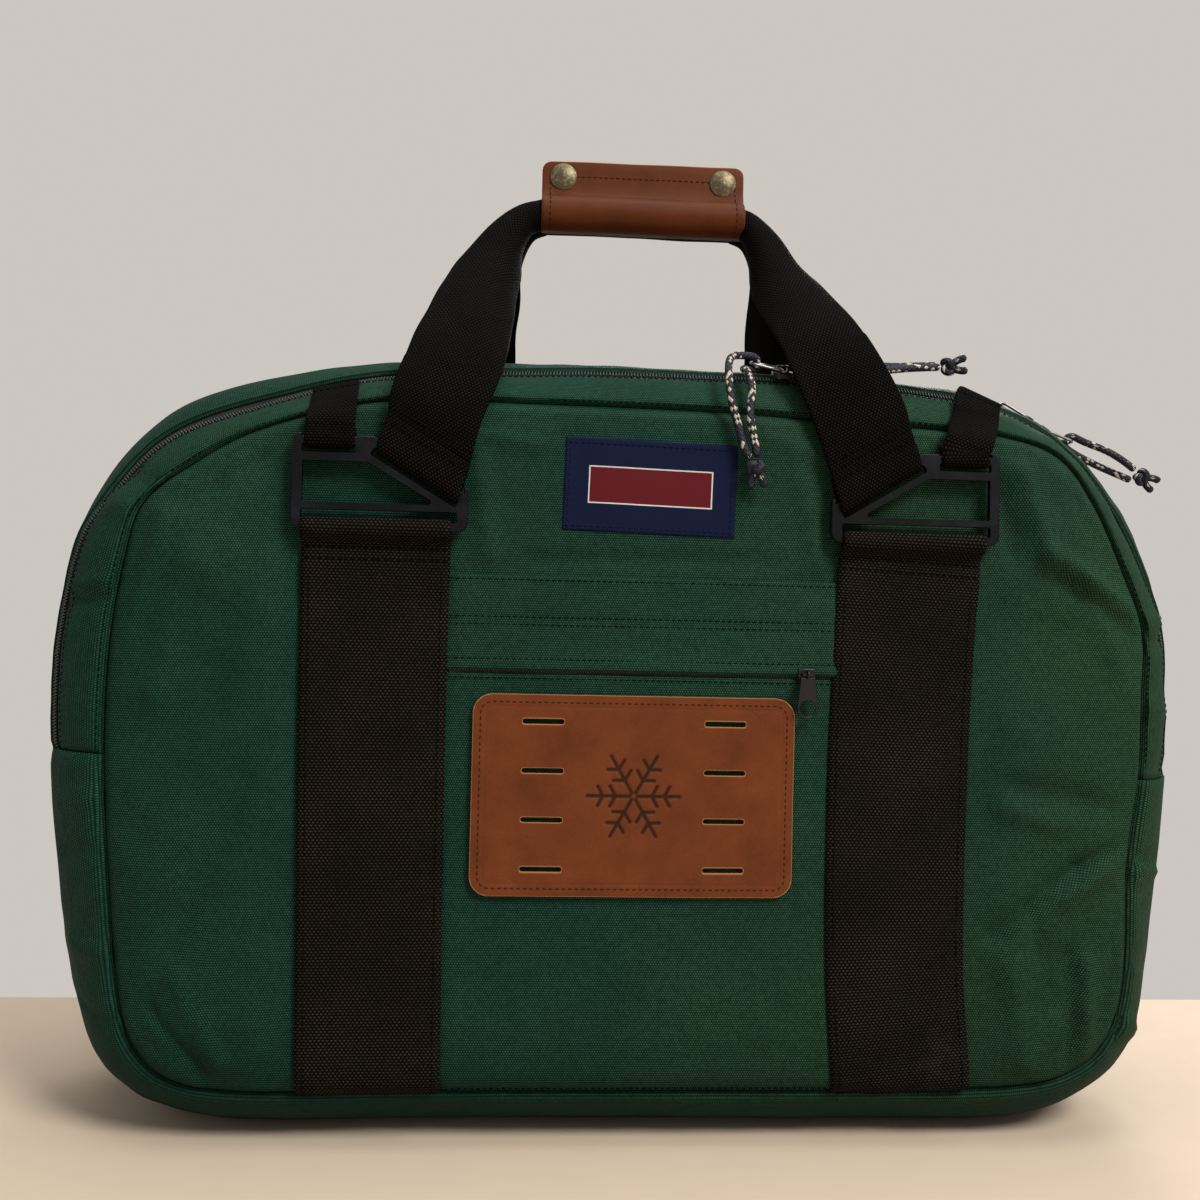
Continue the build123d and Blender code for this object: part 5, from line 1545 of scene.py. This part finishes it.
# ---- grip --------------------------------------------------------------------------
class HOLDALL_OT_grip(bpy.types.Operator):
    """Leather grip in two halves with a snapped flange"""
    bl_idname = "holdall.grip"
    bl_label = "Grip"

    def execute(self, context):
        for name, sign, body, node in (("Grip front", -1, "grip_flap", "grip_flap"),
                                       ("Grip back", 1, "front_handle", "grip_wrap")):
            self.half(name, sign, body, node)
        return {"FINISHED"}

    def half(self, name, sign, body, node):
        thick = sizes().leather / MM
        top = GRIP_HIGH[2]
        angles = np.radians(np.concatenate((np.linspace(-90, 50, 22), [60, 68])))
        outer = [(GRIP_R * math.cos(a), GRIP_R * math.sin(a)) for a in angles]
        inner = [((GRIP_R - thick) * math.cos(a), (GRIP_R - thick) * math.sin(a)) for a in angles]
        rise = top - GRIP_Z
        outer += [(thick + 1.0, 12.2), (thick + 0.35, 14.5), (thick + 0.15, 18), (thick + 0.1, 22),
                  (thick + 0.1, 26), (thick + 0.1, rise - 1.2), (thick - 0.25, rise - 0.35),
                  (thick - 0.8, rise)]
        inner += [(1.6, 9.6), (0.35, 12.2), (0.12, 15), (0.12, 19), (0.12, 24), (0.12, rise - 1.4),
                  (0.3, rise - 0.4), (0.7, rise)]
        outer, inner = np.array(outer), np.array(inner)
        length = GRIP_LENGTH
        ends = np.array((0, 0.35, 0.9, 1.8, 3.2))
        xs = np.concatenate((-length / 2 + ends, np.linspace(-length / 2 + 5, length / 2 - 5, 46),
                             (length / 2 - ends)[::-1]))
        front, back, cloth, edge = [], [], [], []
        run = np.concatenate(([0], np.cumsum(np.linalg.norm(np.diff(outer, axis=0), axis=1))))
        for x in xs:
            from_end = length / 2 - abs(x)
            near = 1 - min(from_end / 0.9, 1)
            thin = 0.55 * thick * (1 - math.sqrt(max(0, 1 - near * near))) / 2
            shrink = (outer - inner)
            shrink = shrink / (np.linalg.norm(shrink, axis=1, keepdims=True) + 1e-9) * thin
            lift = outer[:, 1].clip(12, None) - 12
            corner = 5.5 - math.sqrt(max(0.0, 5.5 ** 2 - max(0.0, 5.5 - from_end) ** 2))
            wave = 0.5 * noise.noise(Vector((x / 24, 3.3, 0))) + 0.014 * x
            out, inn = outer - shrink, inner + shrink
            for points, store in ((out, front), (inn, back)):
                y = points[:, 0] + 0.12
                z = points[:, 1] + lift / rise * wave - np.clip(lift / (rise - 12), 0, 1) ** 2 * corner
                bend = 0.22 * noise.noise(Vector((x / 17, 9.0, 1.0))) * lift / rise
                store.append(np.stack([np.full_like(y, x), GRIP_Y + sign * y + bend, GRIP_Z + z], -1))
            cloth.append(np.stack([np.full_like(run, x), run], -1))
            rim = np.zeros_like(run)
            rim[-2:] = 1
            rim[:] = np.maximum(rim, 1.0 if from_end < 0.3 else 0.0)
            edge.append(rim)
        piece = band_loft(name, np.array(front), np.array(back), np.array(cloth), np.array(edge))
        dress(piece, grip_material(), body, "saddle_leather", node)
        lines = []
        front = np.array(front)
        way = front - np.array(back)
        way /= np.linalg.norm(way, axis=2, keepdims=True) + 1e-9
        for distance in (5.2, length - 5.2):
            i = int(np.argmin(np.abs(xs + length / 2 - distance)))
            line = front[i, 3:-4] + way[i, 3:-4] * 0.1
            lines.append((line, way[i, 3:-4]))
        j = len(run) - 5
        lines.append((front[6:-6, j] + way[6:-6, j] * 0.1, way[6:-6, j]))
        stitches(f"{name} stitching", body, "saddle_leather", lines, (0.040, 0.011, 0.005), 0.85)


# ---- cords -------------------------------------------------------------------------
# The routes that the solids have, in mm: two strands of each cord, and its knot's middle and way.
CORDS = {
    "a": {"upper": [(59.9, -68.4, 417.9), (59.9, -69.8, 421.7), (50.5, -71.5, 421.9), (44.0, -77.5, 420.0),
                    (41.0, -86.0, 414.0), (40.3, -92.5, 404.0), (41.0, -96.3, 392.5), (44.5, -97.2, 380.5),
                    (47.5, -97.8, 369.0), (50.7, -98.9, 361.5)],
          "lower": [(59.9, -68.4, 417.9), (59.9, -67.0, 414.1), (51.0, -72.0, 414.6), (51.5, -81.0, 412.0),
                    (53.0, -88.5, 405.0), (52.6, -94.3, 396.0), (50.8, -96.8, 385.0), (53.2, -97.6, 374.0),
                    (54.9, -98.8, 362.4)],
          "knot": ((54.0, -99.5, 356.5), (0.15, 0.05, -1.0))},
    "b": {"upper": [(100.2, -68.4, 417.9), (100.2, -69.8, 421.7), (109.6, -67.4, 422.0),
                    (121.0, -63.0, 421.6),
                    (134.0, -60.8, 420.9), (147.0, -60.9, 421.6), (162.0, -64.3, 421.8)],
          "lower": [(100.2, -68.4, 417.9), (100.2, -67.0, 414.1), (109.4, -70.0, 414.4),
                    (121.0, -74.0, 415.0),
                    (134.0, -75.2, 416.2), (147.0, -74.0, 418.0), (162.1, -69.3, 419.8)],
          "knot": ((167.5, -66.6, 420.8), (0.9, -0.35, 0.1))},
    "c": {"upper": [(253.5, -28.0, 388.7), (255.7, -28.0, 392.2), (264.6, -28.6, 387.4),
                    (275.5, -31.2, 383.2),
                    (286.5, -32.6, 377.0), (295.0, -30.1, 371.7)],
          "lower": [(253.5, -28.0, 388.7), (251.3, -28.0, 385.2), (259.9, -27.2, 380.2),
                    (270.5, -24.9, 375.9),
                    (282.5, -25.2, 371.0), (294.0, -28.0, 365.7)],
          "knot": ((299.5, -29.2, 367.8), (0.85, -0.05, -0.5))},
}


def spline_points(points):
    """Points of a NURBS through the route, in mm."""
    curve = bpy.data.curves.new("Route", "CURVE")
    curve.dimensions = "3D"
    curve.resolution_u = 16
    line = curve.splines.new("NURBS")
    line.points.add(len(points) - 1)
    for point, place in zip(line.points, points):
        point.co = (*[c * MM for c in place], 1)
    line.order_u = 3
    line.use_endpoint_u = True
    holder = bpy.data.objects.new("Route", curve)
    bpy.context.scene.collection.objects.link(holder)
    bpy.context.view_layer.update()
    graph = bpy.context.evaluated_depsgraph_get()
    mesh = bpy.data.meshes.new_from_object(holder.evaluated_get(graph), depsgraph=graph)
    found = np.array([v.co[:] for v in mesh.vertices]) / MM
    bpy.data.objects.remove(holder)
    bpy.data.curves.remove(curve)
    bpy.data.meshes.remove(mesh)
    return found


def tube(name, path, radius, sides=20, step=0.8, relief=0.05):
    """A braided tube along points in mm, with its ends rounded over."""
    line, run = smooth_path(path, step)
    tangent = np.gradient(line, axis=0)
    tangent /= np.linalg.norm(tangent, axis=1, keepdims=True)
    start = np.cross(tangent[0], (0, 0, 1.0))
    if np.linalg.norm(start) < 0.1:
        start = np.cross(tangent[0], (1.0, 0, 0))
    side = carried(tangent, start / np.linalg.norm(start))
    other = np.cross(tangent, side)
    angle = np.linspace(0, 2 * math.pi, sides, endpoint=False)
    around = angle * radius
    near = np.minimum(run, run[-1] - run)
    cap = np.sqrt(np.clip(1 - (1 - np.clip(near / (radius * 0.8), 0, 1)) ** 2, 0.02, 1))
    one = 0.9095 * around[None] + 0.62 * run[:, None]
    two = 0.9095 * around[None] - 0.62 * run[:, None]
    ridge = np.abs(np.sin(one * math.pi)) * np.abs(np.sin(two * math.pi))
    reach = radius * cap[:, None] * (1 - relief + relief * 1.5 * ridge)
    points = (line[:, None] + side[:, None] * (np.cos(angle) * reach)[..., None]
              + other[:, None] * (np.sin(angle) * reach)[..., None])
    cloth = np.stack(np.broadcast_arrays(around, run[:, None]), -1)
    faces = grid_faces(len(line), sides, closed=True)
    faces.append(tuple(range(sides))[::-1])
    faces.append(tuple((len(line) - 1) * sides + i for i in range(sides)))
    piece = new_object(name, points.reshape(-1, 3), faces, cloth.reshape(-1, 2))
    if sum(p.area * p.normal.dot(p.center - Vector(line.mean(0) * MM)) for p in piece.data.polygons) < 0:
        piece.data.flip_normals()
    return piece


def joined(name, pieces):
    """Puts several meshes into one object."""
    vertices, faces, values = [], [], []
    for piece in pieces:
        first = len(vertices)
        vertices += [v.co[:] for v in piece.data.vertices]
        faces += [tuple(first + i for i in p.vertices) for p in piece.data.polygons]
        flat = np.empty(len(piece.data.vertices) * 3, np.float32)
        piece.data.attributes[CLOTH].data.foreach_get("vector", flat)
        values.append(flat.reshape(-1, 3)[:, :2])
        bpy.data.objects.remove(piece)
    return new_object(name, np.array(vertices) / MM, faces, np.vstack(values))


class HOLDALL_OT_cords(bpy.types.Operator):
    """Knotted cords on the zip pulls"""
    bl_idname = "holdall.cords"
    bl_label = "Cords"

    def execute(self, context):
        material = once("Cord", braid)
        radius = sizes().cord / MM / 2
        for letter, cord in CORDS.items():
            body = f"pull_{letter}"
            knot = self.knot(letter, *cord["knot"], radius)
            dress(knot, material, body, "pull_cord", f"cord_knot_{letter}")
            for strand in ("upper", "lower"):
                path = spline_points(cord[strand])
                piece = tube(f"Cord {letter} {strand}", path, radius)
                dress(piece, material, body, "pull_cord", f"pull_cord_{letter}_{strand}")
        return {"FINISHED"}

    def knot(self, letter, centre, way, radius):
        """An overhand knot of the doubled cord with its two tails."""
        way = unit(np.array(way))
        side = unit(np.cross(way, (0.3, 1.0, 0.2)))
        other = np.cross(way, side)
        centre = np.array(centre)
        t = np.linspace(0, 2 * math.pi, 80)
        size = 1.18
        u = (np.sin(t) + 2 * np.sin(2 * t)) * size
        v = (np.cos(t) - 2 * np.cos(2 * t)) * size
        w = -np.sin(3 * t) * 1.9
        loop = centre + side * u[:, None] + other * v[:, None] + way * w[:, None]
        pieces = [tube("Knot", loop, radius * 0.97, step=0.7)]
        for sign in (-1, 1):
            tail = [centre + way * 1.5 + side * sign * 0.6, centre + way * 5 + side * sign * 2.4,
                    centre + way * 8 + side * sign * 3.3, centre + way * 10.6 + side * sign * 3.2]
            pieces.append(tube("Tail", np.array(tail), radius, step=0.7))
        return joined(f"Knot {letter}", pieces)


# ---- hard pieces -------------------------------------------------------------------
WORN_LINK, WORN_ENAMEL, BARE_BRASS = (0.006, 0.008, 0.013), (0.020, 0.020, 0.023), (0.30, 0.25, 0.16)


class HOLDALL_OT_hardware(bpy.types.Operator):
    """Finishes of the links, sliders, wires and snaps"""
    bl_idname = "holdall.hardware"
    bl_label = "Hardware"

    def execute(self, context):
        tint = colours()
        finishes = (
            (plain("Link plastic", tint.link, 0.42, 700, 0.05, worn=WORN_LINK, Specular_IOR_Level=0.14),
             [f"link_{e}_{s}" for e in ENDS for s in SIDES]),
            (plain("Slider enamel", tint.slider, 0.30, 500, 0.03, worn=WORN_ENAMEL, Specular_IOR_Level=0.35),
             [f"zip_slider_{k}" for k in "abcd"] + ["pocket_slider", "pocket_pull_tab"]),
            (plain("Wire", tint.wire, 0.32, 600, 0.02, metallic=1.0), [f"wire_pull_{k}" for k in "abcd"]),
            (plain("Brass", tint.snap, 0.46, 620, 0.30, metallic=1.0, worn=BARE_BRASS, patches=480),
             ["snap_caps", "snap_studs"]),
        )
        for material, nodes in finishes:
            for node in nodes:
                data = bpy.data.objects[node].data
                data.materials.clear()
                data.materials.append(material)
        return {"FINISHED"}


# ---- stage -------------------------------------------------------------------------
WORLD_LIGHT = 0.33
LAMPS = (   # name, place and aim in m, diameter in m, power in W
    ("Window", (1.25, -1.7, 2.1), (0, 0, 0.25), 1.1, 78), ("Fill", (-2.0, -1.6, 1.2), (0, 0, 0.2), 1.8, 3),
    ("Ceiling", (0.1, -0.1, 2.3), (0, 0, 0.2), 1.8, 24), ("Rear", (0.9, 2.2, 1.5), (0, 0, 0.25), 1.4, 30),
)
FLOOR_MIDDLE, FLOOR_SIZE = (0, -1.337, -0.0004), (5, 3)
CAMERA_PLACE = (-0.0661, -0.7201, 0.2724)
CAMERA_TURNS = ((-3.71, "Z"), (91.21, "X"), (1.28, "Z"))   # degrees, one after the other


class HOLDALL_OT_stage(bpy.types.Operator):
    """Floor, backdrop, lamps and camera"""
    bl_idname = "holdall.stage"
    bl_label = "Stage"

    def execute(self, context):
        scene = context.scene
        scene.view_settings.view_transform = "Standard"
        tint = tuple(colours().backdrop)
        bpy.ops.mesh.primitive_plane_add(size=1)
        floor = context.object
        floor.name = "Floor"
        floor.data.transform(Matrix.Translation(FLOOR_MIDDLE) @ Matrix.Diagonal((*FLOOR_SIZE, 1, 1)))
        floor.data.materials.append(plain("Floor", tuple(colours().floor), 0.8, 40, 0.0))
        world = bpy.data.worlds.new("Backdrop")
        scene.world = world
        world.use_nodes = True
        nodes, links = world.node_tree.nodes, world.node_tree.links
        light = nodes["Background"]
        light.inputs["Color"].default_value = (1.0, 1.0, 1.0, 1)
        light.inputs["Strength"].default_value = WORLD_LIGHT
        seen = nodes.new("ShaderNodeBackground")
        seen.inputs["Color"].default_value = (*tint, 1)
        seen.inputs["Strength"].default_value = 1.0
        rays, mix = nodes.new("ShaderNodeLightPath"), nodes.new("ShaderNodeMixShader")
        shown = nodes.new("ShaderNodeMath")
        shown.operation = "MAXIMUM"
        links.new(rays.outputs["Is Camera Ray"], shown.inputs[0])
        links.new(rays.outputs["Is Glossy Ray"], shown.inputs[1])
        links.new(shown.outputs[0], mix.inputs[0])
        links.new(light.outputs[0], mix.inputs[1])
        links.new(seen.outputs[0], mix.inputs[2])
        links.new(mix.outputs[0], nodes["World Output"].inputs["Surface"])
        for name, place, aim, size, power in LAMPS:
            lamp = bpy.data.lights.new(name, "AREA")
            lamp.shape, lamp.size, lamp.energy = "DISK", size, power
            holder = bpy.data.objects.new(name, lamp)
            holder.location = place
            holder.rotation_euler = (Vector(place) - Vector(aim)).to_track_quat("Z", "Y").to_euler()
            scene.collection.objects.link(holder)
        camera = bpy.data.cameras.new("Camera")
        camera.sensor_width, camera.lens = 36, 36.06
        camera.clip_start = 0.01
        holder = bpy.data.objects.new("Camera", camera)
        stand = Matrix.Translation(CAMERA_PLACE)
        for degrees, axis in CAMERA_TURNS:
            stand = stand @ Matrix.Rotation(math.radians(degrees), 4, axis)
        holder.matrix_world = stand
        scene.collection.objects.link(holder)
        scene.camera = holder
        return {"FINISHED"}


class HOLDALL_PT_panel(bpy.types.Panel):
    bl_label = "Holdall"
    bl_idname = "HOLDALL_PT_panel"
    bl_space_type = "VIEW_3D"
    bl_region_type = "UI"
    bl_category = "Holdall"

    def draw(self, context):
        for operator in OPERATORS:
            self.layout.operator(operator.bl_idname)
        for group in (context.scene.holdall_sizes, context.scene.holdall_colours):
            box = self.layout.box()
            for name in group.bl_rna.properties.keys():
                if name not in ("rna_type", "name"):
                    box.prop(group, name)


OPERATORS = (HOLDALL_OT_stage, HOLDALL_OT_cords, HOLDALL_OT_shell, HOLDALL_OT_zips, HOLDALL_OT_pocket,
             HOLDALL_OT_patch, HOLDALL_OT_straps, HOLDALL_OT_handles, HOLDALL_OT_grip, HOLDALL_OT_hardware)
CLASSES = (HoldallColours, HoldallSizes, *OPERATORS, HOLDALL_PT_panel)


def register():
    for item in CLASSES:
        bpy.utils.register_class(item)
    bpy.types.Scene.holdall_colours = PointerProperty(type=HoldallColours)
    bpy.types.Scene.holdall_sizes = PointerProperty(type=HoldallSizes)


def unregister():
    del bpy.types.Scene.holdall_sizes
    del bpy.types.Scene.holdall_colours
    for item in reversed(CLASSES):
        bpy.utils.unregister_class(item)


def main():
    register()
    for operator in OPERATORS:
        group, name = operator.bl_idname.split(".")
        getattr(getattr(bpy.ops, group), name)()


if __name__ == "__main__":
    main()
